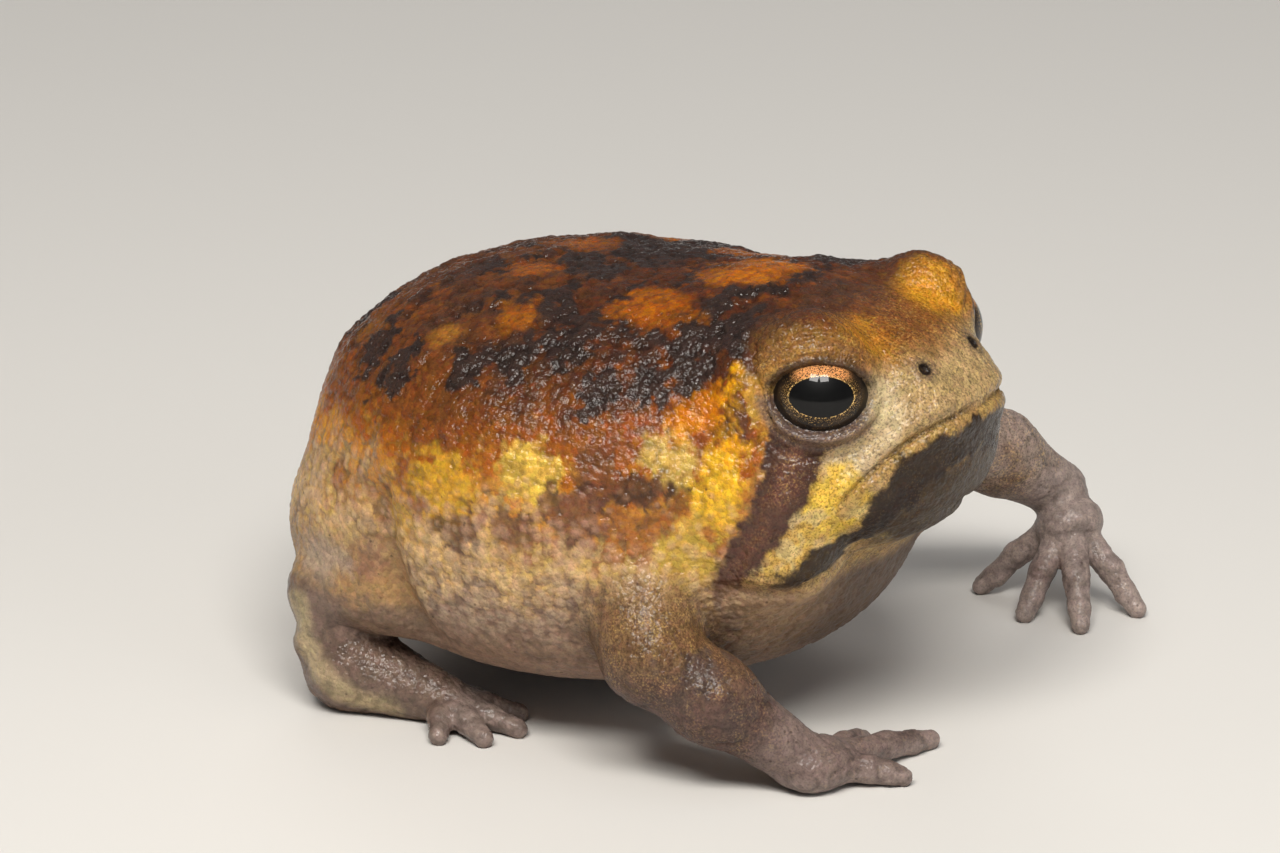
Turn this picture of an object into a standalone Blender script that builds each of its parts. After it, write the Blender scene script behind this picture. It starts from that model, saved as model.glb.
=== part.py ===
"""Rain frog, life size, squatting on a level floor.

The body is one soft form. It is a smooth union of egg shapes and tapered limbs,
each with its own named size, and it is parted into named pieces with thin cuts.
Axes: x to the frog's left, y towards its rump, z up. Sizes are in millimetres
until the meshes are made. The eyes stand over y = 0 while the frog is built.
At the end the whole is moved so that the origin is the middle of its footprint.
"""

from math import atan2, cos, pi, radians, sin

import bmesh
import bpy
import numpy as np
from mathutils import Matrix, Quaternion, Vector

MM = 0.001

# Eyes and lids
EYE = (6.1, 0.0, 21.5)
EYE_RADIUS = 2.6
SOCKET_RADIUS = 2.88
LID_RADIUS = 3.3
EYE_TURN = 58.0
EYE_RAISE = 14.0
LID_HALF_WIDTH = 2.62
LID_ABOVE = 1.66
LID_BELOW = 1.96

# Mouth: how high the line of the lips is, falling back from the snout's tip
MOUTH_FRONT_Y = -7.0
MOUTH_FRONT_Z = 20.4
MOUTH_FALL = 0.305
MOUTH_CURVE = 1.65
MOUTH_CORNER_Y = -2.7

# Nostrils
NOSTRIL = (2.7, -4.7, 22.9)
NOSTRIL_RADIUS = 0.36

# Forelegs: the right hand is flat and turned in, the left one stands on its fingers
RIGHT_ARM = {
    "side": -1,
    "shoulder": (-9.6, 9.5, 11.5),
    "elbow": (-12.8, 6.4, 7.4),
    "middle": (-11.7, 3.2, 5.2),
    "wrist": (-9.8, 0.2, 2.6),
    "palm": (-8.5, -1.3, 1.3),
    "palm_size": (2.3, 1.9, 1.35),
    "palm_tilt": (0, 0, -24),
    "arch": (0.95, 0.7),
    "drop": 0.15,
    "tips": ((-5.4, 1.3), (-2.6, -0.9), (-0.7, -4.1), (-5.9, -5.3)),
}
LEFT_ARM = {
    "side": 1,
    "shoulder": (9.6, 9.5, 12.0),
    "elbow": (16.4, 5.6, 11.4),
    "middle": (20.2, 3.2, 9.2),
    "wrist": (23.6, 1.0, 6.3),
    "palm": (23.0, -0.1, 4.5),
    "palm_size": (2.2, 2.0, 1.35),
    "palm_tilt": (-18, 30, 32),
    "arch": (2.5, 1.2),
    "drop": 0.5,
    "tips": ((20.8, 4.4), (18.3, 0.2), (18.4, -3.4), (22.4, -5.0)),
}
UPPER_ARM_RADII = (3.8, 2.6)
FOREARM_RADII = (2.45, 2.35, 1.5)
FINGER_RADII = ((0.85, 0.7, 0.55), (0.9, 0.72, 0.55), (0.95, 0.75, 0.52), (0.85, 0.72, 0.55))
TIP_HEIGHT = 0.46

# Hind legs, right side: the left is its mirror image
HIP = (-8.4, 25.8, 9.8)
HIP_SIZE = (5.4, 6.0, 5.6)
KNEE = (-11.6, 23.6, 8.0)
HEEL = (-12.5, 27.6, 6.6)
FOOT_BASE = (-12.4, 26.2, 2.4)
TOE_ROOT = (-11.6, 20.6, 1.25)
SPADE = ((-13.9, 27.2, 6.2), (-13.7, 28.0, 3.8), (-13.2, 27.4, 1.5), (-12.8, 25.2, 0.5))
SPADE_RADII = (0.6, 0.85, 0.85, 0.6)
TOE_TIPS = ((-9.0, 19.1), (-9.5, 17.0), (-11.4, 15.8), (-13.5, 16.7), (-14.5, 19.0))
TOE_RADII = (0.95, 0.7, 0.52)

# Folds of the skin, right side
NECK_FOLD = ((-7.6, 3.6, 24.4), (-8.8, 1.9, 21.5), (-9.6, 1.2, 18.4), (-10.3, 1.7, 15.2), (-10.8, 2.8, 12.2))
JAW_FOLD = ((-10.2, 3.2, 10.9), (-8.7, 0.2, 10.9), (-6.6, -1.6, 12.0), (-4.4, -3.6, 13.4), (-2.0, -4.6, 14.2),
            (0.0, -4.9, 14.4))
THIGH_FOLD = ((-14.8, 22.6, 13.6), (-14.8, 22.0, 11.0), (-14.4, 21.4, 8.4), (-13.4, 20.0, 5.8))

# Making
VOXEL = 0.3
BODY_TRIANGLES = 8000
GAP = 0.3
MARGIN = 3.0
SOLVER = "MANIFOLD"  # the exact solver leaves open edges where a thin shell meets the skin

MATERIALS = {
    "torso": ((0.33, 0.16, 0.055), 0.38),
    "head": ((0.42, 0.27, 0.10), 0.42),
    "lower_jaw": ((0.36, 0.22, 0.10), 0.42),
    "eye": ((0.02, 0.014, 0.008), 0.08),
    "upper": ((0.30, 0.21, 0.15), 0.4),
    "forearm": ((0.27, 0.20, 0.17), 0.4),
    "hand": ((0.33, 0.26, 0.24), 0.4),
    "finger": ((0.36, 0.28, 0.26), 0.42),
    "thigh": ((0.42, 0.29, 0.12), 0.42),
    "foot": ((0.30, 0.23, 0.17), 0.42),
    "toe": ((0.28, 0.21, 0.17), 0.42),
}


# The forms of the body. Each is blended into those before it.

FORMS = []


def egg(centre, size, soft, tilt=(0, 0, 0), power=(2.0, 2.0)):
    """An ellipsoid. A power over 2 makes it boxier, first in plan and then in height."""
    FORMS.append({"kind": "egg", "centre": centre, "size": size, "tilt": tilt, "power": power, "soft": soft})


def limb(start, end, start_radius, end_radius, soft):
    """A tapered length with round ends."""
    FORMS.append({"kind": "limb", "ends": (start, end), "radii": (start_radius, end_radius), "soft": soft})


def limbs(points, radii, soft):
    for k in range(len(points) - 1):
        limb(points[k], points[k + 1], radii[k], radii[k + 1], soft)


def on_side(point, side):
    """A point given for the right side, taken to the side wanted: -1 is right, 1 is left."""
    return (-point[0] * side, point[1], point[2])


def trunk_forms():
    egg((0, 17.2, 13.2), (15.4, 16.4, 10.8), 0.1, (-2.5, 0, 0), (2.08, 2.4))
    egg((0, 17.2, 9.0), (14.4, 14.2, 6.5), 3.0, power=(2.1, 2.5))
    egg((0, 9.0, 14.2), (11.4, 9.0, 10.0), 4.0, (-12, 0, 0), (2.1, 2.3))
    for side in (1, -1):
        egg((7.6 * side, 25.4, 10.0), (6.2, 6.0, 6.2), 3.0, power=(2.1, 2.1))


def head_forms():
    egg((0, 4.2, 18.4), (8.9, 8.2, 6.75), 3.5, (-2, 0, 0), (2.2, 2.6))
    egg((0, -2.0, 19.5), (5.5, 4.5, 4.3), 2.6, (6, 0, 0), (2.2, 2.6))
    egg((0, 0.4, 16.3), (7.4, 6.0, 4.1), 3.0, (4, 0, 0), (2.2, 2.2))
    egg((0, 6.3, 13.0), (9.4, 6.6, 7.4), 4.0, (-30, 0, 0))
    for side in (1, -1):
        # cheek and corner of the jaw
        egg((6.8 * side, 3.4, 15.4), (3.4, 4.4, 4.4), 3.0)
        egg((6.9 * side, 2.8, 12.4), (3.2, 4.0, 3.0), 2.0)
        # brow over the eye, and the swelling behind it
        egg((5.9 * side, 0.5, 22.0), (2.9, 3.2, 3.75), 2.0)
        egg((6.0 * side, 2.8, 21.2), (3.0, 3.2, 3.3), 2.0)
        # lids
        egg((EYE[0] * side, EYE[1], EYE[2]), (LID_RADIUS,) * 3, 0.6)


def digit_points(root, tip, middle_height, knuckle_height):
    """From a palm or sole to a tip that rests on the floor."""
    root, tip = np.array(root, float), np.array((*tip, TIP_HEIGHT))
    middle = root + (tip - root) * 0.5
    knuckle = root + (tip - root) * 0.78
    middle[2], knuckle[2] = middle_height, knuckle_height
    return [tuple(root), tuple(middle), tuple(knuckle), tuple(tip)]


def finger_points(arm, number):
    palm = np.array(arm["palm"])
    tip = np.array((*arm["tips"][number], TIP_HEIGHT))
    root = palm + (tip - palm) * 0.22
    root[2] = palm[2] - arm["drop"]
    return digit_points(root, arm["tips"][number], *arm["arch"])


def arm_forms(arm):
    limb(arm["shoulder"], arm["elbow"], *UPPER_ARM_RADII, 1.4)
    limbs([arm["elbow"], arm["middle"], arm["wrist"]], FOREARM_RADII, 1.2)
    egg(arm["palm"], arm["palm_size"], 0.8, arm["palm_tilt"], (2.3, 2.3))
    limb(arm["wrist"], arm["palm"], 1.5, 1.2, 1.2)
    for number, (root, middle, end) in enumerate(FINGER_RADII):
        limbs(finger_points(arm, number), (root, middle, (middle + end) / 2, end), 0.5)


def toe_points(side, number):
    tip = on_side((*TOE_TIPS[number], TIP_HEIGHT), side)
    start = np.array(on_side(TOE_ROOT, side))
    root = start + (np.array(tip) - start) * 0.15
    root[2] = 1.1
    middle = (root + np.array(tip)) / 2
    middle[2] = 0.85
    return [tuple(root), tuple(middle), tip]


def leg_forms(side):
    egg(on_side(HIP, side), HIP_SIZE, 1.0)
    limb(on_side(KNEE, side), on_side(HEEL, side), 3.2, 2.2, 1.5)
    limb(on_side(HEEL, side), on_side(FOOT_BASE, side), 2.0, 2.5, 1.0)
    limb(on_side(FOOT_BASE, side), on_side(TOE_ROOT, side), 2.5, 1.35, 0.8)
    limbs([on_side(point, side) for point in SPADE], SPADE_RADII, 0.7)
    for number in range(len(TOE_TIPS)):
        limbs(toe_points(side, number), TOE_RADII, 0.5)


def make_forms():
    trunk_forms()
    head_forms()
    arm_forms(RIGHT_ARM)
    arm_forms(LEFT_ARM)
    leg_forms(-1)
    leg_forms(1)


# Distances to the forms, in millimetres, for an array of points


def turn(tilt):
    x, y, z = (radians(angle) for angle in tilt)
    about_x = np.array(((1, 0, 0), (0, cos(x), -sin(x)), (0, sin(x), cos(x))))
    about_y = np.array(((cos(y), 0, sin(y)), (0, 1, 0), (-sin(y), 0, cos(y))))
    about_z = np.array(((cos(z), -sin(z), 0), (sin(z), cos(z), 0), (0, 0, 1)))
    return about_z @ about_y @ about_x


def to_egg(points, form):
    size = np.array(form["size"], float)
    plan, rise = form["power"]
    q = np.maximum(np.abs((points - np.array(form["centre"])) @ turn(form["tilt"])) / size, 1e-6)
    ring = (q[:, 0] ** plan + q[:, 1] ** plan) ** (1 / plan)
    reach = (ring ** rise + q[:, 2] ** rise) ** (1 / rise)
    by_ring = (ring / reach) ** (rise - 1)
    slope_x = by_ring * (q[:, 0] / ring) ** (plan - 1) / size[0]
    slope_y = by_ring * (q[:, 1] / ring) ** (plan - 1) / size[1]
    slope_z = (q[:, 2] / reach) ** (rise - 1) / size[2]
    return (reach - 1) / np.sqrt(slope_x ** 2 + slope_y ** 2 + slope_z ** 2)


def to_limb(points, start, end, start_radius, end_radius):
    start, end = np.array(start, float), np.array(end, float)
    axis = end - start
    length2 = axis @ axis
    narrowing = start_radius - end_radius
    side2 = length2 - narrowing ** 2
    from_start = points - start
    along = from_start @ axis
    past = along - length2
    across2 = ((from_start * length2 - along[:, None] * axis) ** 2).sum(1)
    test = np.sign(narrowing) * narrowing ** 2 * across2
    distance = (np.sqrt(across2 * side2 / length2) + along * narrowing) / length2 - start_radius
    at_end = np.sign(past) * side2 * past ** 2 * length2 > test
    at_start = ~at_end & (np.sign(along) * side2 * along ** 2 * length2 < test)
    end_distance = np.sqrt(across2 + past ** 2 * length2) / length2 - end_radius
    start_distance = np.sqrt(across2 + along ** 2 * length2) / length2 - start_radius
    return np.where(at_end, end_distance, np.where(at_start, start_distance, distance))


def blend(a, b, soft):
    near = np.maximum(soft - np.abs(a - b), 0) / soft
    return np.minimum(a, b) - near ** 3 * soft / 6


def middle_and_reach(form):
    if form["kind"] == "egg":
        return np.array(form["centre"], float), 1.3 * max(form["size"])
    start, end = (np.array(point, float) for point in form["ends"])
    return (start + end) / 2, np.linalg.norm(end - start) / 2 + max(form["radii"])


def hill(value, centre, width):
    return np.exp(-(((value - centre) / width) ** 2))


def smooth(value, low, high):
    t = np.clip((value - low) / (high - low), 0, 1)
    return t * t * (3 - 2 * t)


def fold(points, line, width, depth):
    """How far the skin is drawn in along a line."""
    to_line = np.full(len(points), 99.0)
    for start, end in zip(line[:-1], line[1:]):
        to_line = np.minimum(to_line, to_limb(points, start, end, 0.01, 0.011))
    return depth * hill(to_line, 0, width)


def mouth_height(y):
    return MOUTH_FRONT_Z - MOUTH_FALL * np.maximum(y - MOUTH_FRONT_Y, 0) ** MOUTH_CURVE


def body(points):
    """Distance to the skin of the whole frog, before the mouth and the sockets are cut."""
    distance = np.full(len(points), 20.0)
    for form in FORMS:
        middle, reach = middle_and_reach(form)
        near = ((points - middle) ** 2).sum(1) < (reach + form["soft"] + MARGIN) ** 2
        if not near.any():
            continue
        if form["kind"] == "egg":
            own = to_egg(points[near], form)
        else:
            own = to_limb(points[near], *form["ends"], *form["radii"])
        distance[near] = blend(distance[near], own, form["soft"])
    for side in (1, -1):
        near = points[:, 0] * side > -1
        own = points[near]
        distance[near] += fold(own, [on_side(point, side) for point in NECK_FOLD], 0.75, 0.4)
        distance[near] += fold(own, [on_side(point, side) for point in JAW_FOLD], 0.7, 0.35)
        distance[near] += fold(own, [on_side(point, side) for point in THIGH_FOLD], 1.0, 0.9)
    # lips, as a roll on either side of the mouth's line
    near = (points[:, 1] < 1) & (points[:, 2] > 13) & (np.abs(points[:, 0]) < 9)
    over = points[near, 2] - mouth_height(points[near, 1])
    front = 1 - smooth(points[near, 1], MOUTH_CORNER_Y - 0.3, MOUTH_CORNER_Y + 1.5)
    distance[near] -= 0.28 * hill(over, -0.85, 0.6) * front
    distance[near] -= 0.22 * hill(over, 0.75, 0.55) * front
    for side in (1, -1):
        # the raised rim of the nostril
        off = points - np.array((NOSTRIL[0] * side, NOSTRIL[1], NOSTRIL[2]))
        distance -= 0.14 * hill(np.sqrt((off ** 2).sum(1)), 0.65, 0.3)
    return distance


def slope(points, step=0.02):
    here = body(points)
    columns = []
    for axis in range(3):
        moved = points.copy()
        moved[:, axis] += step
        columns.append((body(moved) - here) / step)
    return here, np.stack(columns, 1)


def settled(points, rounds=4):
    """The points drawn onto the skin."""
    for _ in range(rounds):
        here, rise = slope(points)
        pull = here / np.maximum((rise ** 2).sum(1), 0.25)
        points = points - rise * np.clip(pull, -0.8, 0.8)[:, None]
    return points


# Meshes


def new_collection(name):
    collection = bpy.data.collections.new(name)
    bpy.context.scene.collection.children.link(collection)
    return collection


def new_object(name, mesh, collection):
    obj = bpy.data.objects.new(name, mesh)
    collection.objects.link(obj)
    return obj


def mesh_of(shape, name):
    bmesh.ops.recalc_face_normals(shape, faces=shape.faces)
    mesh = bpy.data.meshes.new(name)
    shape.to_mesh(mesh)
    shape.free()
    return mesh


def upright_to(direction):
    return Vector((0, 0, 1)).rotation_difference(Vector(direction)).to_matrix().to_4x4()


def add_sphere(shape, centre, size, tilt=(0, 0, 0), segments=24):
    place = Matrix.Translation(Vector(centre))
    turned = Matrix(turn(tilt).tolist()).to_4x4()
    scale = Matrix.Diagonal((*size, 1))
    bmesh.ops.create_uvsphere(
        shape, u_segments=segments, v_segments=segments // 2, radius=1, matrix=place @ turned @ scale)


def add_cone(shape, start, end, start_radius, end_radius, segments=16):
    axis = Vector(end) - Vector(start)
    place = Matrix.Translation((Vector(start) + Vector(end)) / 2) @ upright_to(axis)
    bmesh.ops.create_cone(
        shape, cap_ends=True, segments=segments, radius1=start_radius, radius2=end_radius, depth=axis.length,
        matrix=place)


def blank(collection):
    """The forms as plain primitives, made one closed surface."""
    whole = bmesh.new()
    for form in FORMS:
        shape = bmesh.new()
        if form["kind"] == "egg":
            add_sphere(shape, form["centre"], form["size"], form["tilt"], 32)
        else:
            add_cone(shape, *form["ends"], *form["radii"])
            for point, radius in zip(form["ends"], form["radii"]):
                add_sphere(shape, point, (radius,) * 3, segments=16)
        mesh = mesh_of(shape, "form")
        whole.from_mesh(mesh)
        bpy.data.meshes.remove(mesh)
    obj = new_object("body", mesh_of(whole, "body"), collection)
    remesh = obj.modifiers.new("one surface", "REMESH")
    remesh.mode = "VOXEL"
    remesh.voxel_size = VOXEL
    apply_all(obj)
    return obj


def apply_all(obj):
    graph = bpy.context.evaluated_depsgraph_get()
    graph.update()
    mesh = bpy.data.meshes.new_from_object(obj.evaluated_get(graph))
    old = obj.data
    obj.modifiers.clear()
    obj.data = mesh
    bpy.data.meshes.remove(old)


def points_of(mesh):
    points = np.empty(len(mesh.vertices) * 3)
    mesh.vertices.foreach_get("co", points)
    return points.reshape(-1, 3)


def set_points(mesh, points):
    mesh.vertices.foreach_set("co", np.ascontiguousarray(points, dtype=np.float32).ravel())
    mesh.update()


def thin_out(obj, triangles):
    count = sum(len(face.vertices) - 2 for face in obj.data.polygons)
    thin = obj.modifiers.new("fewer faces", "DECIMATE")
    thin.ratio = triangles / count
    apply_all(obj)


# Cutters


def cutter(name, shape, shell=False):
    obj = new_object(name, mesh_of(shape, name), CUTTERS)
    obj.hide_render = True
    obj.display_type = "WIRE"
    if shell:
        wall = obj.modifiers.new("wall", "SOLIDIFY")
        wall.thickness = GAP
        wall.offset = 0
        wall.use_even_offset = True
    return obj


def plate(name, centre, normal, radius):
    """A thin round plate that parts a limb."""
    shape = bmesh.new()
    place = Matrix.Translation(Vector(centre)) @ upright_to(normal)
    bmesh.ops.create_cone(
        shape, cap_ends=True, segments=24, radius1=radius, radius2=radius, depth=GAP, matrix=place)
    return cutter(name, shape)


def keep_below(shape, point, normal):
    """Cuts a closed shape with a plane, keeps the side that the normal points away from, and closes it."""
    parts = shape.verts[:] + shape.edges[:] + shape.faces[:]
    cut = bmesh.ops.bisect_plane(
        shape, geom=parts, plane_co=Vector(point), plane_no=Vector(normal), clear_outer=True)
    edges = [item for item in cut["geom_cut"] if isinstance(item, bmesh.types.BMEdge)]
    bmesh.ops.contextual_create(shape, geom=edges)


HEAD_BACK_RADIUS = 11.0
HEAD_BACK_Y = -3.9
HEAD_FLOOR = (0, -4.9, 14.2)
HEAD_FLOOR_FALL = 0.43


def head_cutter():
    """A round wall behind the head, and a sloping floor under the jaw."""
    shape = bmesh.new()
    radius = HEAD_BACK_RADIUS
    bmesh.ops.create_cone(
        shape, cap_ends=True, segments=32, radius1=radius, radius2=radius, depth=40,
        matrix=Matrix.Translation((0, HEAD_BACK_Y, 20)))
    keep_below(shape, HEAD_FLOOR, (0, -HEAD_FLOOR_FALL, -1))
    return cutter("cut_head", shape, shell=True)


def jaw_cutter():
    """A bent sheet along the mouth's line, and from its corner down to the floor under the jaw."""
    line = [(MOUTH_FRONT_Y - 2.0, MOUTH_FRONT_Z)]
    for k in range(13):
        y = MOUTH_FRONT_Y + (MOUTH_CORNER_Y - MOUTH_FRONT_Y) * k / 12
        line.append((y, float(mouth_height(y))))
    end_y = 0.3
    end_z = HEAD_FLOOR[2] - HEAD_FLOOR_FALL * (end_y - HEAD_FLOOR[1])
    line += [(-1.9, 14.9), (end_y, end_z)]
    shape = bmesh.new()
    rows = [[shape.verts.new((x, y, z)) for x in (-10.5, 10.5)] for y, z in line]
    for first, second in zip(rows[:-1], rows[1:]):
        shape.faces.new((first[0], first[1], second[1], second[0]))
    return cutter("cut_mouth", shape, shell=True)


THIGH_MIDDLE = (-12.0, 27.5, 8.4)
THIGH_REACH = 7.4
SHOULDER_OUT = 0.4
PALM_REACH = 2.9
SOLE_REACH = 1.9
ANKLE = (-12.0, 23.5, 4.3)
ANKLE_NORMAL = (-0.416, 0, -0.909)
ANKLE_REACH = 7.5


def thigh_cutter(side):
    """The upper part of a ball round the thigh, down to the plate above the foot."""
    shape = bmesh.new()
    add_sphere(shape, on_side(THIGH_MIDDLE, side), (THIGH_REACH,) * 3, segments=24)
    normal = Vector(on_side(ANKLE_NORMAL, side))
    parts = shape.verts[:] + shape.edges[:] + shape.faces[:]
    bmesh.ops.bisect_plane(
        shape, geom=parts, plane_co=Vector(on_side(ANKLE, side)) + normal * 0.1, plane_no=normal, clear_outer=True)
    return cutter("cut_thigh", shape, shell=True)


def foot_cutter(side):
    """A plate between the foot and all that is over it."""
    return plate("cut_ankle", on_side(ANKLE, side), on_side(ANKLE_NORMAL, side), ANKLE_REACH)


def eye_axis(side):
    turned, raised = radians(EYE_TURN), radians(EYE_RAISE)
    return Vector((side * sin(turned) * cos(raised), -cos(turned) * cos(raised), sin(raised)))


def socket_cutters(side):
    """The ball of the socket, and the almond opening between the lids."""
    centre = Vector((EYE[0] * side, EYE[1], EYE[2]))
    shape = bmesh.new()
    add_sphere(shape, centre, (SOCKET_RADIUS,) * 3, segments=20)
    ball = cutter("cut_socket", shape)
    out = eye_axis(side)
    across = Vector((cos(radians(EYE_TURN)) * side, sin(radians(EYE_TURN)), 0))
    up = out.cross(across)
    if up.z < 0:
        up = -up
    shape = bmesh.new()
    rings = []
    for depth in (0.7, 5.0):
        ring = []
        for k in range(36):
            angle = 2 * pi * k / 36
            height = LID_ABOVE if sin(angle) > 0 else LID_BELOW
            edge = across * (LID_HALF_WIDTH * cos(angle)) + up * (height * sin(angle))
            ring.append(shape.verts.new(centre + out * depth + edge))
        rings.append(ring)
    for k in range(36):
        nxt = (k + 1) % 36
        shape.faces.new((rings[0][k], rings[0][nxt], rings[1][nxt], rings[1][k]))
    shape.faces.new(rings[0])
    shape.faces.new(rings[1])
    return [ball, cutter("cut_lids", shape)]


def nostril_cutter(side):
    shape = bmesh.new()
    add_sphere(shape, (NOSTRIL[0] * side, NOSTRIL[1], NOSTRIL[2]), (NOSTRIL_RADIUS,) * 3, segments=12)
    return cutter("cut_nostril", shape)


def floor_cutter():
    shape = bmesh.new()
    bmesh.ops.create_cube(
        shape, size=1, matrix=Matrix.Translation((0, 12, -5)) @ Matrix.Diagonal((100, 100, 10, 1)))
    return cutter("cut_floor", shape)


def between(a, b, share):
    return tuple(Vector(a).lerp(Vector(b), share))


def to_trunk(point):
    """Distance from a point to the trunk without its limbs."""
    distance = np.full(1, 20.0)
    for form in [form for form in FORMS if form["kind"] == "egg"][:6]:
        distance = blend(distance, to_egg(np.array([point]), form), form["soft"])
    return float(distance[0])


def arm_root(arm):
    """Where the line of the upper arm comes out of the flank."""
    start, end = np.array(arm["shoulder"]), np.array(arm["elbow"])
    for k in range(100):
        point = start + (end - start) * k / 100
        if to_trunk(point) > SHOULDER_OUT:
            return point
    return end


def shoulder_plate(arm):
    """A plate that lies along the flank at the root of the arm."""
    point = arm_root(arm)
    here = to_trunk(point)
    normal = [to_trunk(point + 0.02 * step) - here for step in np.eye(3)]
    return plate("cut_shoulder", point, normal, 5.2)


def upright_sheet(name, line, low, high):
    """A thin upright sheet along a line on the floor."""
    shape = bmesh.new()
    rows = [[shape.verts.new((x, y, z)) for z in (low, high)] for x, y in line]
    for first, second in zip(rows[:-1], rows[1:]):
        shape.faces.new((first[0], first[1], second[1], second[0]))
    return cutter(name, shape, shell=True)


def digit_cutters(centre, tips, reach, top):
    """A wall across the roots of the digits, and one between each pair of neighbours."""
    middle = np.array(centre[:2], float)
    angles = np.unwrap([atan2(tip[1] - middle[1], tip[0] - middle[0]) for tip in tips])
    step = np.sign(angles[-1] - angles[0])
    spread = np.linspace(angles[0] - step * 0.6, angles[-1] + step * 0.6, 9)
    arc = [middle + reach * np.array((cos(angle), sin(angle))) for angle in spread]
    sheets = [upright_sheet("cut_roots", arc, -1, top)]
    for first, second in zip(angles[:-1], angles[1:]):
        way = np.array((cos((first + second) / 2), sin((first + second) / 2)))
        line = [middle + way * (reach - 0.05), middle + way * (reach + 4)]
        sheets.append(upright_sheet("cut_between", line, -1, top))
    return sheets


def elbow_plate(arm):
    upper = (Vector(arm["elbow"]) - Vector(arm["shoulder"])).normalized()
    fore = (Vector(arm["middle"]) - Vector(arm["elbow"])).normalized()
    return plate("cut_elbow", arm["elbow"], upper + fore, 3.3)


def wrist_plate(arm):
    """Across the forearm just above the wrist."""
    axis = Vector(arm["wrist"]) - Vector(arm["middle"])
    return plate("cut_wrist", between(arm["wrist"], arm["middle"], 0.15), axis, 2.7)


def limb_cutters():
    cutters = []
    for arm in (RIGHT_ARM, LEFT_ARM):
        cutters += [shoulder_plate(arm), elbow_plate(arm), wrist_plate(arm)]
        cutters += digit_cutters(arm["palm"], arm["tips"], PALM_REACH, arm["palm"][2] + 0.9)
    for side in (-1, 1):
        tips = [on_side((*tip, 0), side) for tip in TOE_TIPS]
        cutters += digit_cutters(on_side(TOE_ROOT, side), tips, SOLE_REACH, 2.1)
    return cutters


def subtract(obj, cutters):
    for tool in cutters:
        cut = obj.modifiers.new(tool.name, "BOOLEAN")
        cut.operation = "DIFFERENCE"
        cut.object = tool
        cut.solver = SOLVER
        apply_all(obj)


def loose_parts(obj):
    """Each closed surface of the mesh as a mesh of its own."""
    source = bmesh.new()
    source.from_mesh(obj.data)
    seen = set()
    groups = []
    for vert in source.verts:
        if vert.index in seen:
            continue
        seen.add(vert.index)
        group, waiting = [], [vert]
        while waiting:
            here = waiting.pop()
            group.append(here.index)
            for edge in here.link_edges:
                other = edge.other_vert(here)
                if other.index not in seen:
                    seen.add(other.index)
                    waiting.append(other)
        groups.append(set(group))
    source.free()
    parts = []
    for group in groups:
        piece = bmesh.new()
        piece.from_mesh(obj.data)
        gone = [vert for vert in piece.verts if vert.index not in group]
        bmesh.ops.delete(piece, geom=gone, context="VERTS")
        parts.append(piece)
    return sorted(parts, key=lambda piece: -piece.calc_volume())


def hearts():
    """A point inside each piece, which gives the piece its name."""
    points = {"torso": (0, 17, 13), "head": (0, 2, 20), "lower_jaw": (0, -3.2, 16.4)}
    for arm, name in ((RIGHT_ARM, "right"), (LEFT_ARM, "left")):
        out = Vector((arm["side"], 0, 0))
        points["upper_arm_" + name] = Vector(between(arm_root(arm), arm["elbow"], 0.5)) + out
        points["forearm_" + name] = arm["middle"]
        points["hand_" + name] = arm["palm"]
        for number in range(4):
            line = finger_points(arm, number)
            points["finger_%s_%d" % (name, number + 1)] = line[2]
    for side, name in ((-1, "right"), (1, "left")):
        points["thigh_" + name] = on_side((-11.5, 26.0, 9.0), side)
        points["foot_" + name] = on_side((-12.2, 24.5, 2.2), side)
        for number in range(5):
            line = toe_points(side, number)
            points["toe_%s_%d" % (name, number + 1)] = between(line[1], line[2], 0.7)
    return points


def named_parts(pieces):
    """The piece round each heart: from inside a closed surface, the solid angle of its faces is the whole ball."""
    found = {}
    for name, heart in hearts().items():
        around = [seen_from(heart, piece) for piece in pieces]
        found[name] = int(np.argmax(around))
    return found


def seen_from(heart, piece):
    bmesh.ops.triangulate(piece, faces=piece.faces)
    corners = np.array([[vert.co for vert in face.verts] for face in piece.faces]) - np.array(heart)
    a, b, c = corners[:, 0], corners[:, 1], corners[:, 2]
    la, lb, lc = (np.linalg.norm(side, axis=1) for side in (a, b, c))
    inner = la * lb * lc + (a * b).sum(1) * lc + (b * c).sum(1) * la + (c * a).sum(1) * lb
    return float(np.arctan2((a * np.cross(b, c)).sum(1), inner).sum() / (2 * pi))


def material(name, colour, roughness):
    skin = bpy.data.materials.new(name)
    skin.use_nodes = True
    surface = skin.node_tree.nodes["Principled BSDF"]
    surface.inputs["Base Color"].default_value = (*colour, 1)
    surface.inputs["Roughness"].default_value = roughness
    surface.inputs["Metallic"].default_value = 0
    return skin


def finish(name, mesh, shift):
    mesh.transform(Matrix.Scale(MM, 4) @ Matrix.Translation(shift))
    mesh.name = name
    obj = new_object(name, mesh, FROG)
    mesh.materials.clear()
    mesh.materials.append(material("skin_" + name, *MATERIALS[name.split("_")[0] if name != "lower_jaw" else name]))
    for face in mesh.polygons:
        face.use_smooth = True
    mesh.set_sharp_from_angle(angle=radians(50))
    return obj


def make_eye(side):
    shape = bmesh.new()
    turned = Vector((0, 0, 1)).rotation_difference(eye_axis(side)).to_matrix().to_4x4()
    place = Matrix.Translation((EYE[0] * side, EYE[1], EYE[2])) @ turned
    bmesh.ops.create_uvsphere(shape, u_segments=24, v_segments=14, radius=EYE_RADIUS, matrix=place)
    return mesh_of(shape, "eye")


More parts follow.
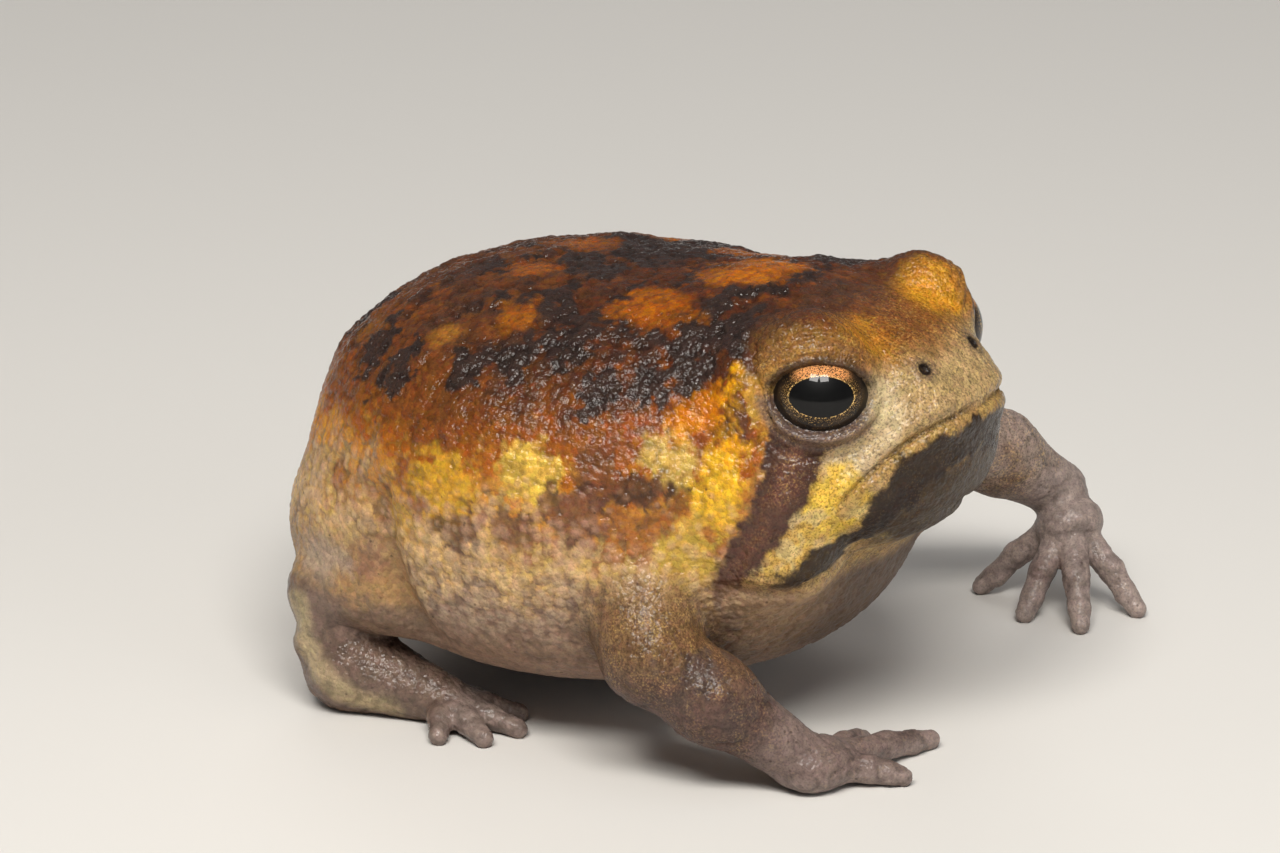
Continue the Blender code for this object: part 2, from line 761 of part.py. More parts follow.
def main():
    make_forms()
    frog = blank(CUTTERS)
    mesh = frog.data
    set_points(mesh, settled(points_of(mesh)))
    thin_out(frog, BODY_TRIANGLES)
    walls = [floor_cutter(), head_cutter(), jaw_cutter()]
    for side in (-1, 1):
        walls += [thigh_cutter(side), foot_cutter(side)]
        walls += [*socket_cutters(side), nostril_cutter(side)]
    subtract(frog, walls + limb_cutters())
    pieces = loose_parts(frog)
    names = named_parts(pieces)
    meshes = {}
    for name, number in names.items():
        mesh = bpy.data.meshes.new(name)
        pieces[number].to_mesh(mesh)
        meshes[name] = mesh
    for piece in pieces:
        piece.free()
    meshes["eye_right"] = make_eye(-1)
    meshes["eye_left"] = make_eye(1)
    corners = np.concatenate([points_of(mesh) for mesh in meshes.values()])
    low, high = corners.min(0), corners.max(0)
    shift = Vector((-(low[0] + high[0]) / 2, -(low[1] + high[1]) / 2, -low[2]))
    for name, mesh in meshes.items():
        finish(name, mesh, shift)
    bpy.data.objects.remove(frog)


for old in list(bpy.data.objects):
    bpy.data.objects.remove(old)
FROG = new_collection("rain_frog")
CUTTERS = new_collection("cutters")
main()
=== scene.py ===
"""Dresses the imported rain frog: one granular skin over all its flesh, two wet eyes, a floor and soft light.

The skin is the same union of egg shapes and tapered limbs as the solids, with lids, lips, folds and granules
added. It is worked out in millimetres in the frame the solids were drawn in, with the eyes over y = 0, x to the
frog's left and y towards its rump, and is moved into the row's frame at the end.
"""

from math import cos, radians, sin
from types import SimpleNamespace

import bmesh
import bpy
import numpy as np
from mathutils import Matrix, Vector


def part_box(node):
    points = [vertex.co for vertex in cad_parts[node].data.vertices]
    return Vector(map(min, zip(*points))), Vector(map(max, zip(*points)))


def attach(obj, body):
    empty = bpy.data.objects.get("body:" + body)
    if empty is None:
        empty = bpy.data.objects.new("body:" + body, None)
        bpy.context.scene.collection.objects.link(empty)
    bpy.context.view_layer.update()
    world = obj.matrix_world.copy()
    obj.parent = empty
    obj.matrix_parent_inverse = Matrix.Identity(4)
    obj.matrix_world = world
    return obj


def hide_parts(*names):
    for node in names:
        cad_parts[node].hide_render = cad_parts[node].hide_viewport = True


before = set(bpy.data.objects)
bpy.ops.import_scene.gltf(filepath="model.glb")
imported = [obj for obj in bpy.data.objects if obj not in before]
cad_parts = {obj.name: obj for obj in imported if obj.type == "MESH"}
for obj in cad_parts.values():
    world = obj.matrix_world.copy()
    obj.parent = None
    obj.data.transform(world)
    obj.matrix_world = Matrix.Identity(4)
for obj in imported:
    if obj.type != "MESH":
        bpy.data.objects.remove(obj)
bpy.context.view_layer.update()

MM = 0.001

# The frog's driving sizes, as in its solids
EYE = (6.1, 0.0, 21.5)
EYE_RADIUS = 2.72
LID_RADIUS = 3.3
EYE_TURN = 58.0
EYE_RAISE = 14.0
LID_HALF_WIDTH = 2.6
LID_ABOVE = 1.66
LID_BELOW = 1.96
WELL_RADIUS = 2.6

MOUTH_FRONT_Y = -7.0
MOUTH_FRONT_Z = 20.4
MOUTH_FALL = 0.305
MOUTH_CURVE = 1.65
MOUTH_CORNER_Y = -2.7
NOSTRIL = (2.7, -4.7, 22.9)

RIGHT_ARM = {
    "side": -1,
    "shoulder": (-9.6, 9.5, 11.5),
    "elbow": (-12.8, 6.4, 7.4),
    "middle": (-11.7, 3.2, 5.2),
    "wrist": (-9.8, 0.2, 2.6),
    "palm": (-8.5, -1.3, 1.3),
    "palm_size": (2.3, 1.9, 1.35),
    "palm_tilt": (0, 0, -24),
    "arch": (0.95, 0.7),
    "drop": 0.15,
    "tips": ((-5.4, 1.3), (-2.6, -0.9), (-0.7, -4.1), (-5.9, -5.3)),
}
LEFT_ARM = {
    "side": 1,
    "shoulder": (9.6, 9.5, 12.0),
    "elbow": (16.4, 5.6, 11.4),
    "middle": (20.2, 3.2, 9.2),
    "wrist": (23.6, 1.0, 6.3),
    "palm": (23.0, -0.1, 4.5),
    "palm_size": (2.2, 2.0, 1.35),
    "palm_tilt": (-18, 30, 32),
    "arch": (2.5, 1.2),
    "drop": 0.5,
    "tips": ((20.8, 4.4), (18.3, 0.2), (18.4, -3.4), (22.4, -5.0)),
}
UPPER_ARM_RADII = (3.8, 2.6)
FOREARM_RADII = (2.45, 2.35, 1.5)
FINGER_RADII = ((0.85, 0.7, 0.55), (0.9, 0.72, 0.55), (0.95, 0.75, 0.52), (0.85, 0.72, 0.55))
TIP_HEIGHT = 0.46

HIP = (-8.4, 25.8, 9.8)
HIP_SIZE = (5.4, 6.0, 5.6)
KNEE = (-11.6, 23.6, 8.0)
HEEL = (-12.5, 27.6, 6.6)
FOOT_BASE = (-12.4, 26.2, 2.4)
TOE_ROOT = (-11.6, 20.6, 1.25)
SPADE = ((-13.9, 27.2, 6.2), (-13.7, 28.0, 3.8), (-13.2, 27.4, 1.5), (-12.8, 25.2, 0.5))
SPADE_RADII = (0.6, 0.85, 0.85, 0.6)
TOE_TIPS = ((-9.0, 19.1), (-9.5, 17.0), (-11.4, 15.8), (-13.5, 16.7), (-14.5, 19.0))
TOE_RADII = (0.95, 0.7, 0.52)

NECK_FOLD = ((-7.6, 3.6, 24.4), (-8.8, 1.9, 21.5), (-9.6, 1.2, 18.4), (-10.3, 1.7, 15.2), (-10.8, 2.8, 12.2))
JAW_FOLD = ((-10.2, 3.2, 10.9), (-8.7, 0.2, 10.9), (-6.6, -1.6, 12.0), (-4.4, -3.6, 13.4), (-2.0, -4.6, 14.2),
            (0.0, -4.9, 14.4))
THIGH_FOLD = ((-14.8, 22.6, 13.6), (-14.8, 22.0, 11.0), (-14.4, 21.4, 8.4), (-13.4, 20.0, 5.8))

VOXEL = 0.27
MARGIN = 3.0

# How far apart the warts, beads and grains of the skin are, and the creases over the eyes
WART, BEAD, GRAIN = 2.1, 0.60, 0.38
CREASE = 0.44


# The forms of the body, and the nostrils' places on the skin

FORMS = []
NOSTRILS = []


def egg(centre, size, soft, tilt=(0, 0, 0), power=(2.0, 2.0)):
    """An ellipsoid. A power over 2 makes it boxier, first in plan and then in height."""
    FORMS.append({"kind": "egg", "centre": centre, "size": size, "tilt": tilt, "power": power, "soft": soft})


def limb(start, end, start_radius, end_radius, soft):
    """A tapered length with round ends."""
    FORMS.append({"kind": "limb", "ends": (start, end), "radii": (start_radius, end_radius), "soft": soft})


def limbs(points, radii, soft):
    for k in range(len(points) - 1):
        limb(points[k], points[k + 1], radii[k], radii[k + 1], soft)


def on_side(point, side):
    """A point given for the right side, taken to the side wanted: -1 is right, 1 is left."""
    return (-point[0] * side, point[1], point[2])


def trunk_forms():
    egg((0, 17.2, 13.2), (15.4, 16.4, 10.8), 0.1, (-2.5, 0, 0), (2.08, 2.4))
    egg((0, 17.2, 9.0), (14.4, 14.2, 6.5), 3.0, power=(2.1, 2.5))
    egg((0, 9.0, 14.2), (11.4, 9.0, 10.0), 4.0, (-12, 0, 0), (2.1, 2.3))
    for side in (1, -1):
        egg((7.6 * side, 25.4, 10.0), (6.2, 6.0, 6.2), 3.0, power=(2.1, 2.1))


def head_forms():
    egg((0, 4.2, 18.4), (8.9, 8.2, 6.75), 3.5, (-2, 0, 0), (2.2, 2.6))
    egg((0, -2.0, 19.5), (5.5, 4.5, 4.3), 2.6, (6, 0, 0), (2.2, 2.6))
    egg((0, 0.4, 16.3), (7.4, 6.0, 4.1), 3.0, (4, 0, 0), (2.2, 2.2))
    egg((0, 6.3, 13.0), (9.4, 6.6, 7.4), 4.0, (-30, 0, 0))
    for side in (1, -1):
        egg((6.8 * side, 3.4, 15.4), (3.4, 4.4, 4.4), 3.0)
        egg((6.9 * side, 2.8, 12.4), (3.2, 4.0, 3.0), 2.0)
        egg((5.9 * side, 0.5, 22.0), (2.9, 3.2, 3.75), 2.0)
        egg((6.0 * side, 2.8, 21.2), (3.0, 3.2, 3.3), 2.0)
        egg((EYE[0] * side, EYE[1], EYE[2]), (LID_RADIUS,) * 3, 0.6)


def digit_points(root, tip, middle_height, knuckle_height):
    """From a palm or sole to a tip that rests on the floor."""
    root, tip = np.array(root, float), np.array((*tip, TIP_HEIGHT))
    middle = root + (tip - root) * 0.5
    knuckle = root + (tip - root) * 0.78
    middle[2], knuckle[2] = middle_height, knuckle_height
    return [tuple(root), tuple(middle), tuple(knuckle), tuple(tip)]


def finger_points(arm, number):
    palm = np.array(arm["palm"])
    tip = np.array((*arm["tips"][number], TIP_HEIGHT))
    root = palm + (tip - palm) * 0.22
    root[2] = palm[2] - arm["drop"]
    return digit_points(root, arm["tips"][number], *arm["arch"])


def arm_forms(arm):
    limb(arm["shoulder"], arm["elbow"], *UPPER_ARM_RADII, 1.4)
    limbs([arm["elbow"], arm["middle"], arm["wrist"]], FOREARM_RADII, 1.2)
    egg(arm["palm"], arm["palm_size"], 0.8, arm["palm_tilt"], (2.3, 2.3))
    limb(arm["wrist"], arm["palm"], 1.5, 1.2, 1.2)
    for number, (root, middle, end) in enumerate(FINGER_RADII):
        limbs(finger_points(arm, number), (root, middle, (middle + end) / 2, end), 0.5)


def toe_points(side, number):
    tip = on_side((*TOE_TIPS[number], TIP_HEIGHT), side)
    start = np.array(on_side(TOE_ROOT, side))
    root = start + (np.array(tip) - start) * 0.15
    root[2] = 1.1
    middle = (root + np.array(tip)) / 2
    middle[2] = 0.85
    return [tuple(root), tuple(middle), tip]


def leg_forms(side):
    egg(on_side(HIP, side), HIP_SIZE, 1.0)
    limb(on_side(KNEE, side), on_side(HEEL, side), 3.2, 2.2, 1.5)
    limb(on_side(HEEL, side), on_side(FOOT_BASE, side), 2.0, 2.5, 1.0)
    limb(on_side(FOOT_BASE, side), on_side(TOE_ROOT, side), 2.5, 1.35, 0.8)
    limbs([on_side(point, side) for point in SPADE], SPADE_RADII, 0.7)
    for number in range(len(TOE_TIPS)):
        limbs(toe_points(side, number), TOE_RADII, 0.5)


def make_forms():
    trunk_forms()
    head_forms()
    arm_forms(RIGHT_ARM)
    arm_forms(LEFT_ARM)
    leg_forms(-1)
    leg_forms(1)


# Distances to the forms, in millimetres, for an array of points


def turn(tilt):
    x, y, z = (radians(angle) for angle in tilt)
    about_x = np.array(((1, 0, 0), (0, cos(x), -sin(x)), (0, sin(x), cos(x))))
    about_y = np.array(((cos(y), 0, sin(y)), (0, 1, 0), (-sin(y), 0, cos(y))))
    about_z = np.array(((cos(z), -sin(z), 0), (sin(z), cos(z), 0), (0, 0, 1)))
    return about_z @ about_y @ about_x


def to_egg(points, form):
    size = np.array(form["size"], float)
    plan, rise = form["power"]
    q = np.maximum(np.abs((points - np.array(form["centre"])) @ turn(form["tilt"])) / size, 1e-6)
    ring = (q[:, 0] ** plan + q[:, 1] ** plan) ** (1 / plan)
    reach = (ring ** rise + q[:, 2] ** rise) ** (1 / rise)
    by_ring = (ring / reach) ** (rise - 1)
    slope_x = by_ring * (q[:, 0] / ring) ** (plan - 1) / size[0]
    slope_y = by_ring * (q[:, 1] / ring) ** (plan - 1) / size[1]
    slope_z = (q[:, 2] / reach) ** (rise - 1) / size[2]
    return (reach - 1) / np.sqrt(slope_x ** 2 + slope_y ** 2 + slope_z ** 2)


def to_limb(points, start, end, start_radius, end_radius):
    start, end = np.array(start, float), np.array(end, float)
    axis = end - start
    length2 = axis @ axis
    narrowing = start_radius - end_radius
    side2 = length2 - narrowing ** 2
    from_start = points - start
    along = from_start @ axis
    past = along - length2
    across2 = ((from_start * length2 - along[:, None] * axis) ** 2).sum(1)
    test = np.sign(narrowing) * narrowing ** 2 * across2
    distance = (np.sqrt(across2 * side2 / length2) + along * narrowing) / length2 - start_radius
    at_end = np.sign(past) * side2 * past ** 2 * length2 > test
    at_start = ~at_end & (np.sign(along) * side2 * along ** 2 * length2 < test)
    end_distance = np.sqrt(across2 + past ** 2 * length2) / length2 - end_radius
    start_distance = np.sqrt(across2 + along ** 2 * length2) / length2 - start_radius
    return np.where(at_end, end_distance, np.where(at_start, start_distance, distance))


def to_line(points, line):
    """Distance to a bent line through the given points."""
    distance = np.full(len(points), 99.0)
    for start, end in zip(line[:-1], line[1:]):
        distance = np.minimum(distance, to_limb(points, start, end, 0.01, 0.011) + 0.01)
    return distance


def blend(a, b, soft):
    near = np.maximum(soft - np.abs(a - b), 0) / soft
    return np.minimum(a, b) - near ** 3 * soft / 6


def carve(a, b, soft):
    """The first form less the second."""
    return -blend(-a, b, soft)


def within(a, b, soft):
    """What both forms hold."""
    return -blend(-a, -b, soft)


def middle_and_reach(form):
    if form["kind"] == "egg":
        return np.array(form["centre"], float), 1.3 * max(form["size"])
    start, end = (np.array(point, float) for point in form["ends"])
    return (start + end) / 2, np.linalg.norm(end - start) / 2 + max(form["radii"])


def hill(value, centre, width):
    return np.exp(-(((value - centre) / width) ** 2))


def smooth(value, low, high):
    t = np.clip((value - low) / (high - low), 0, 1)
    return t * t * (3 - 2 * t)


def fade(value, low, high):
    return 1 - smooth(value, low, high)


def length(vectors):
    return np.sqrt((vectors ** 2).sum(1))


def mouth_height(y):
    return MOUTH_FRONT_Z - MOUTH_FALL * np.maximum(y - MOUTH_FRONT_Y, 0) ** MOUTH_CURVE


def body(points):
    """Distance to the frog's plain form."""
    distance = np.full(len(points), 20.0)
    for form in FORMS:
        middle, reach = middle_and_reach(form)
        near = ((points - middle) ** 2).sum(1) < (reach + form["soft"] + MARGIN) ** 2
        if not near.any():
            continue
        if form["kind"] == "egg":
            own = to_egg(points[near], form)
        else:
            own = to_limb(points[near], *form["ends"], *form["radii"])
        distance[near] = blend(distance[near], own, form["soft"])
    return distance


# The eye's own axes: back along the lid, up, and out


def direction(turned, raised):
    """A unit vector, that many degrees from the frog's front towards its left, and up."""
    turned, raised = radians(turned), radians(raised)
    return sin(turned) * cos(raised), -cos(turned) * cos(raised), sin(raised)


def eye_axes(side):
    out = np.array(direction(EYE_TURN * side, EYE_RAISE))
    across = np.array((side * cos(radians(EYE_TURN)), sin(radians(EYE_TURN)), 0.0))
    up = np.cross(out, across)
    return across, up * np.sign(up[2]), out


def eye_centre(side):
    return np.array((EYE[0] * side, EYE[1], EYE[2]))


def eye_place(points, side):
    """(back along the lid, up, out, distance from the eye's centre) of each point."""
    q = points - eye_centre(side)
    across, up, out = eye_axes(side)
    return q @ across, q @ up, q @ out, length(q)


def from_lids(back, up):
    """How far outside the opening of the lids, in millimetres."""
    height = np.where(up > 0, LID_ABOVE, LID_BELOW)
    ring = np.sqrt((back / LID_HALF_WIDTH) ** 2 + (up / height) ** 2)
    lateral = np.sqrt(back ** 2 + up ** 2)
    return lateral - (lateral + 1e-5) / (ring + 0.5e-5)


def lids_and_brow(distance, points):
    for side in (1, -1):
        near = ((points - eye_centre(side)) ** 2).sum(1) < 6.5 ** 2
        p = points[near]
        back, up, out, reach = eye_place(p, side)
        off = from_lids(back, up)
        # the lids thin down on the eyeball, most of all at the two corners
        lateral = np.sqrt(back ** 2 + up ** 2)
        rim_height = np.sqrt(np.maximum((EYE_RADIUS + 0.14) ** 2 - np.clip(lateral - off, 0, 2.62) ** 2, 0.01))
        towards_snout = smooth((0.455 * up - 0.89 * back) / (lateral + 1e-3), 0.2, 0.95)
        rise = 0.42 - 0.74 * towards_snout
        d = within(distance[near], np.where(off < 2.6, out - rim_height - rise * np.maximum(off, 0), -9), 0.3)
        below = smooth(-up, -0.6, 0.5)
        above = 1 - below
        wander = 0.12 * value_noise(p, 1.6, 11)
        # the smooth rim of the lower lid and the two folds under it
        change = -0.10 * hill(off, 0.36, 0.24) * below
        change += 0.10 * hill(off, 0.80, 0.17) * below
        change += 0.09 * hill(off + wander, 1.50, 0.26) * below
        # the upper lid's edge, its fold, and fine folds over it
        change += -0.05 * hill(off, 0.22, 0.15) * above
        change += 0.16 * hill(off, 0.55, 0.12) * above * smooth(2.7 - np.abs(back), 0, 0.8)
        inside = above * smooth(2.5 - np.abs(back), 0, 0.9)
        for number in range(3):
            change += 0.05 * hill(off + wander, 0.92 + 0.34 * number, 0.10) * inside
        # wrinkles of the brow, broken here and there, and the crease round it
        ring = np.sqrt(back ** 2 + (up * 0.95) ** 2) + wander
        broken = smooth(value_noise(p, 1.1, 12), 0.25, 0.6) * smooth(up, 0.3, 1.4)
        for number in range(4):
            change += 0.045 * broken * hill(ring, 3.05 + 0.36 * number, 0.11)
        change += 0.20 * hill(ring, 4.45 - 0.75 * smooth(-back, 1.4, 3.4), 0.24) * smooth(up, 0.4, 1.5)
        d = d + change * smooth(out, 0.2, 1.2)
        # the eyeball shows through the opening: the skin passes under it
        well = np.maximum(np.maximum(off, WELL_RADIUS - reach), 0.6 - out)
        distance[near] = carve(d, well, 0.22)
    return distance


def fold(points, line, width, depth):
    """How far the skin is drawn in along a line."""
    return depth * hill(to_line(points, line), 0, width)


def folds(distance, points):
    for side in (1, -1):
        near = points[:, 0] * side > -1
        own = points[near]
        d = distance[near]
        wander = own + 0.25 * np.stack([value_noise(own, 2.2, 20 + k) - 0.5 for k in range(3)], 1)
        for line, width, depth in ((NECK_FOLD, 0.6, 0.45), (JAW_FOLD, 0.6, 0.32), (THIGH_FOLD, 0.9, 0.9)):
            d += fold(wander, [on_side(point, side) for point in line], width, depth)
        distance[near] = d
    return distance


def face(distance, points):
    """With the mouth's line and lips, and the slope of the snout's upper front."""
    near = (points[:, 1] < 1) & (points[:, 2] > 13) & (np.abs(points[:, 0]) < 9)
    p = points[near]
    x, y, z = p.T
    over = z - mouth_height(y) + 0.10 * (value_noise(p, 1.5, 31) - 0.5)
    front = fade(y, MOUTH_CORNER_Y - 0.3, MOUTH_CORNER_Y + 1.5)
    change = 0.34 * hill(over, 0, 0.17) * front
    change -= 0.26 * hill(over, -0.85, 0.6) * front
    change -= 0.18 * hill(over, 0.75, 0.55) * front
    change += 0.95 * hill(x, 0, 4.2) * hill(y, -6.4, 3.0) * hill(np.minimum(z - 22.4, 0), 0, 1.5)
    distance[near] += change
    return distance


def nostrils(distance, points):
    for start, inner in NOSTRILS:
        near = ((points - start) ** 2).sum(1) < 2.5 ** 2
        p = points[near]
        d = distance[near] - 0.06 * hill(length(p - start), 0.60, 0.22)
        distance[near] = carve(d, to_limb(p, start, inner, 0.33, 0.22), 0.14)
    return distance


def bare_skin(points):
    """Distance to the skin with its folds and lips."""
    return face(folds(body(points), points), points)


def skin(points):
    """Distance to the skin with its lids and nostrils too."""
    return lids_and_brow(nostrils(bare_skin(points), points), points)


def slope(field, points, step=0.02):
    here = field(points)
    columns = []
    for axis in range(3):
        moved = points.copy()
        moved[:, axis] += step
        columns.append((field(moved) - here) / step)
    return here, np.stack(columns, 1)


def settled(field, points, rounds):
    """The points drawn onto the surface of a field."""
    for _ in range(rounds):
        here, rise = slope(field, points)
        pull = here / np.maximum((rise ** 2).sum(1), 0.25)
        points = points - rise * np.clip(pull, -0.8, 0.8)[:, None]
    return points


# Noise: smooth values, and rounded cells


def scatter(cell, seed):
    """A number from 0 to 1 for each whole-number cell, the same each run."""
    mixed = cell[..., 0] * 374761393 + cell[..., 1] * 668265263 + cell[..., 2] * 2147483647 + seed * 1274126177
    mixed = (mixed ^ (mixed >> 13)) * 1274126177
    mixed = mixed ^ (mixed >> 16)
    return (mixed & 0xFFFFFF) / float(0xFFFFFF)


def value_noise(points, size, seed):
    """From 0 to 1, changing smoothly over the given size."""
    grid = points / size
    cell = np.floor(grid).astype(np.int64)
    part = grid - cell
    part = part * part * (3 - 2 * part)
    total = np.zeros(len(points))
    for corner in range(8):
        step = np.array((corner & 1, corner >> 1 & 1, corner >> 2 & 1))
        weight = np.prod(np.where(step, part, 1 - part), axis=1)
        total += weight * scatter(cell + step, seed)
    return total


def clouds(points, size, seed, octaves=3):
    total, weight = np.zeros(len(points)), 0.0
    for octave in range(octaves):
        share = 0.55 ** octave
        total += share * value_noise(points, size / 2 ** octave, seed + 17 * octave)
        weight += share
    return total / weight


def domes(points, size, seed, fill=0.62):
    """Rounded granules about one size apart: (height from 0 to 1, a number for the granule)."""
    grid = points / size
    cell = np.floor(grid).astype(np.int64)
    height = np.zeros(len(points))
    own = np.zeros(len(points))
    for dx in (-1, 0, 1):
        for dy in (-1, 0, 1):
            for dz in (-1, 0, 1):
                other = cell + np.array((dx, dy, dz))
                place = np.stack([scatter(other, seed + k) for k in range(3)], -1)
                number = scatter(other, seed + 3)
                away2 = ((grid - other - 0.15 - 0.7 * place) ** 2).sum(1)
                radius = fill * (0.65 + 0.7 * number)
                dome = np.sqrt(np.maximum(1 - away2 / radius ** 2, 0))
                higher = dome > height
                height = np.where(higher, dome, height)
                own = np.where(higher, number, own)
    return height, own


# Where the parts of the body are, each as a number from 0 to 1


def mirrored(points):
    """The points with the left side laid on the right one."""
    return np.stack([-np.abs(points[:, 0]), points[:, 1], points[:, 2]], 1)


def neck_y(z):
    """Where the fold behind the head is, at a height."""
    line = np.array(NECK_FOLD)[::-1]
    return np.interp(z, line[:, 2], line[:, 1])


def spot(points, centre, size, rough, soft=0.25):
    """An egg-shaped mark with a wandering edge."""
    return fade(length((points - np.array(centre)) / np.array(size)) + rough, 1 - soft, 1 + soft)


def by_line(points, line, radius, soft):
    """Near a bent line."""
    return fade(to_line(points, line), radius - soft, radius + soft)


def zones(points):
    """The masks that both the relief and the colours use."""
    _, y, z = points.T
    arm, hand, foot, leg = (np.zeros(len(points)) for _ in range(4))
    for a in (RIGHT_ARM, LEFT_ARM):
        start = tuple(np.array(a["shoulder"]) * 0.35 + np.array(a["elbow"]) * 0.65)
        line = [start, a["elbow"], a["middle"], a["wrist"], a["palm"]]
        arm = np.maximum(arm, by_line(points, line, 3.4, 0.9))
        hand = np.maximum(hand, fade(length(points - np.array(a["palm"])), 3.2, 5.0))
        for number in range(len(a["tips"])):
            hand = np.maximum(hand, by_line(points, finger_points(a, number), 1.6, 0.5))
    arm = np.maximum(arm, hand)
    for side in (-1, 1):
        knee, heel, base, root = (on_side(place, side) for place in (KNEE, HEEL, FOOT_BASE, TOE_ROOT))
        foot = np.maximum(foot, by_line(points, [heel, base, root], 3.0, 0.6) * fade(z, 7.0, 8.6))
        for number in range(len(TOE_TIPS)):
            foot = np.maximum(foot, by_line(points, toe_points(side, number), 1.5, 0.4))
        leg = np.maximum(leg, by_line(points, [knee, heel], 4.2, 1.0))
    head = fade(y - neck_y(z), -0.5, 0.9) * fade(-z, -11.6, -10.2)
    head *= 1 - smooth(z, 23.2, 24.8) * smooth(y, -1.0, 2.5) * 0.6
    return {"arm": arm, "hand": hand, "foot": foot, "leg": leg, "head": head}


def crinkles(points):
    """Thin wandering lines, where the skin of the limbs is creased."""
    return fade(np.abs(value_noise(points, 1.0, 63) - 0.5), 0.0, 0.12)


def relief(points, zone):
    """How far the granules and warts stand out of the skin, each bead's height, and a number for the bead."""
    z = points[:, 2]
    bare = np.clip(zone["arm"] + zone["foot"] * 0.9, 0, 1)
    trunk = (1 - bare) * (1 - zone["head"])
    back = smooth(z, 12.0, 17.0)
    warts, _ = domes(points * np.array((1.0, 1.0, 0.7)), WART, 41, 0.6)
    beads, own = domes(points, BEAD, 45, 0.66)
    grains, _ = domes(points, GRAIN, 49, 0.66)
    lumps = clouds(points, 2.8, 53)
    cluster = dark_clusters(points)
    calm = 1 - 0.75 * orange_spots(points)
    warty = 0.11 * warts * back * smooth(lumps, 0.35, 0.6)
    height = trunk * calm * (warty + (0.085 + 0.06 * cluster) * beads)
    height += trunk * ((0.05 + 0.03 * cluster) * grains + 0.34 * (lumps - 0.5) * back + 0.06 * (1 - calm))
    height += zone["head"] * (0.040 * grains + 0.10 * (clouds(points, 0.8, 57) - 0.5))
    cheek = np.maximum(smooth(points[:, 1], -0.5, 2.5), 0.6 * fade(z, 16.0, 18.5))
    height += zone["head"] * cheek * 0.065 * beads
    height += bare * (0.030 * grains + 0.08 * (clouds(points, 1.1, 61) - 0.5) - 0.05 * crinkles(points))
    return height, beads, own - 0.5


# Each orange spot has its centre, size and tone, and each dark clump its centre and size
ORANGE_SPOTS = (
    ((-5.4, 10.7, 23.9), (1.9, 2.6, 1.2), (0.265, 0.072, 0.004)),
    ((-7.8, 17.6, 23.1), (1.6, 1.4, 1.5), (0.215, 0.064, 0.006)),
    ((-9.8, 21.4, 21.8), (1.1, 1.0, 1.4), (0.22, 0.085, 0.013)),
    ((-1.0, 7.6, 25.3), (1.6, 2.6, 1.5), (0.31, 0.090, 0.006)),
    ((-2.6, 20.6, 24.2), (1.5, 2.1, 1.5), (0.21, 0.060, 0.008)),
    ((-7.2, 27.2, 19.6), (1.4, 1.5, 1.6), (0.20, 0.070, 0.010)),
)
DARK_CLUMPS = (
    ((-4.9, 12.6, 24.1), (1.8, 1.2, 1.3)), ((-9.0, 13.3, 22.7), (1.7, 1.7, 1.9)),
    ((-7.0, 7.1, 23.6), (1.5, 1.4, 1.3)), ((-8.7, 6.3, 22.3), (1.4, 1.2, 1.4)),
    ((-9.7, 8.6, 21.5), (1.5, 1.3, 1.7)), ((-10.7, 10.6, 21.0), (1.4, 1.0, 1.4)),
    ((-11.0, 16.2, 21.7), (1.6, 1.3, 1.9)), ((-12.0, 18.8, 20.8), (1.5, 1.2, 1.9)),
    ((-11.7, 23.1, 20.1), (1.6, 1.3, 2.1)), ((-5.9, 5.0, 24.3), (1.6, 1.0, 1.2)),
    ((-9.4, 26.0, 19.8), (1.8, 1.2, 2.2)), ((-5.0, 29.0, 19.0), (2.0, 1.5, 2.2)),
    ((-1.5, 31.0, 17.6), (1.6, 1.5, 2.0)),
)


def orange_spots(points):
    """Where the smooth orange spots of the back are."""
    q = mirrored(points)
    edge = 1.7 * (clouds(points, 1.2, 91) - 0.5)
    most = np.zeros(len(points))
    for centre, size, _ in ORANGE_SPOTS:
        most = np.maximum(most, spot(q, centre, size, edge, 0.15))
    return most


def dark_clusters(points):
    """Where the near-black clusters of granules on the back are."""
    q = mirrored(points)
    edge = 2.3 * (clouds(points, 0.9, 87) - 0.5)
    most = smooth(clouds(points, 2.4, 89), 0.42, 0.54) * smooth(points[:, 2], 21.8, 23.6)
    streak = smooth(clouds(points * np.array((1.0, 1.0, 0.5)), 1.5, 97), 0.50, 0.60)
    most = np.maximum(most, 0.7 * streak * smooth(points[:, 2], 18.2, 19.6))
    for centre, size in DARK_CLUMPS:
        most = np.maximum(most, spot(q, centre, size, edge, 0.2))
    return most


# Colours, as linear red, green and blue


def mix(a, b, share):
    share = np.asarray(share)[..., None]
    return np.asarray(a, float) * (1 - share) + np.asarray(b, float) * share


def layered(colour, *layers):
    """Tones laid over a colour in turn, each with how much of it shows."""
    for tone, share in layers:
        colour = mix(colour, tone, share)
    return colour


PATCH_LINE = ((-8.5, -0.1, 19.7), (-8.6, 0.2, 18.5), (-9.1, 0.4, 17.0), (-9.8, 1.2, 15.0), (-10.2, 2.2, 12.9),
              (-10.1, 3.3, 11.0))
JAW_LINE = ((0.0, -6.7, 18.7), (-1.5, -6.4, 18.6), (-2.9, -6.0, 18.2), (-4.4, -5.2, 17.7), (-5.2, -4.5, 16.7),
            (-5.7, -3.9, 15.7), (-5.8, -2.8, 14.1), (-6.6, -1.8, 12.9), (-7.9, -1.1, 12.4), (-9.0, 0.4, 11.4))
SPADE_RIM = ((-14.9, 28.2, 6.4), (-15.2, 27.8, 4.6), (-15.3, 26.9, 3.0), (-15.1, 25.6, 1.9), (-14.6, 24.2, 1.1),
             (-13.9, 22.6, 0.7))
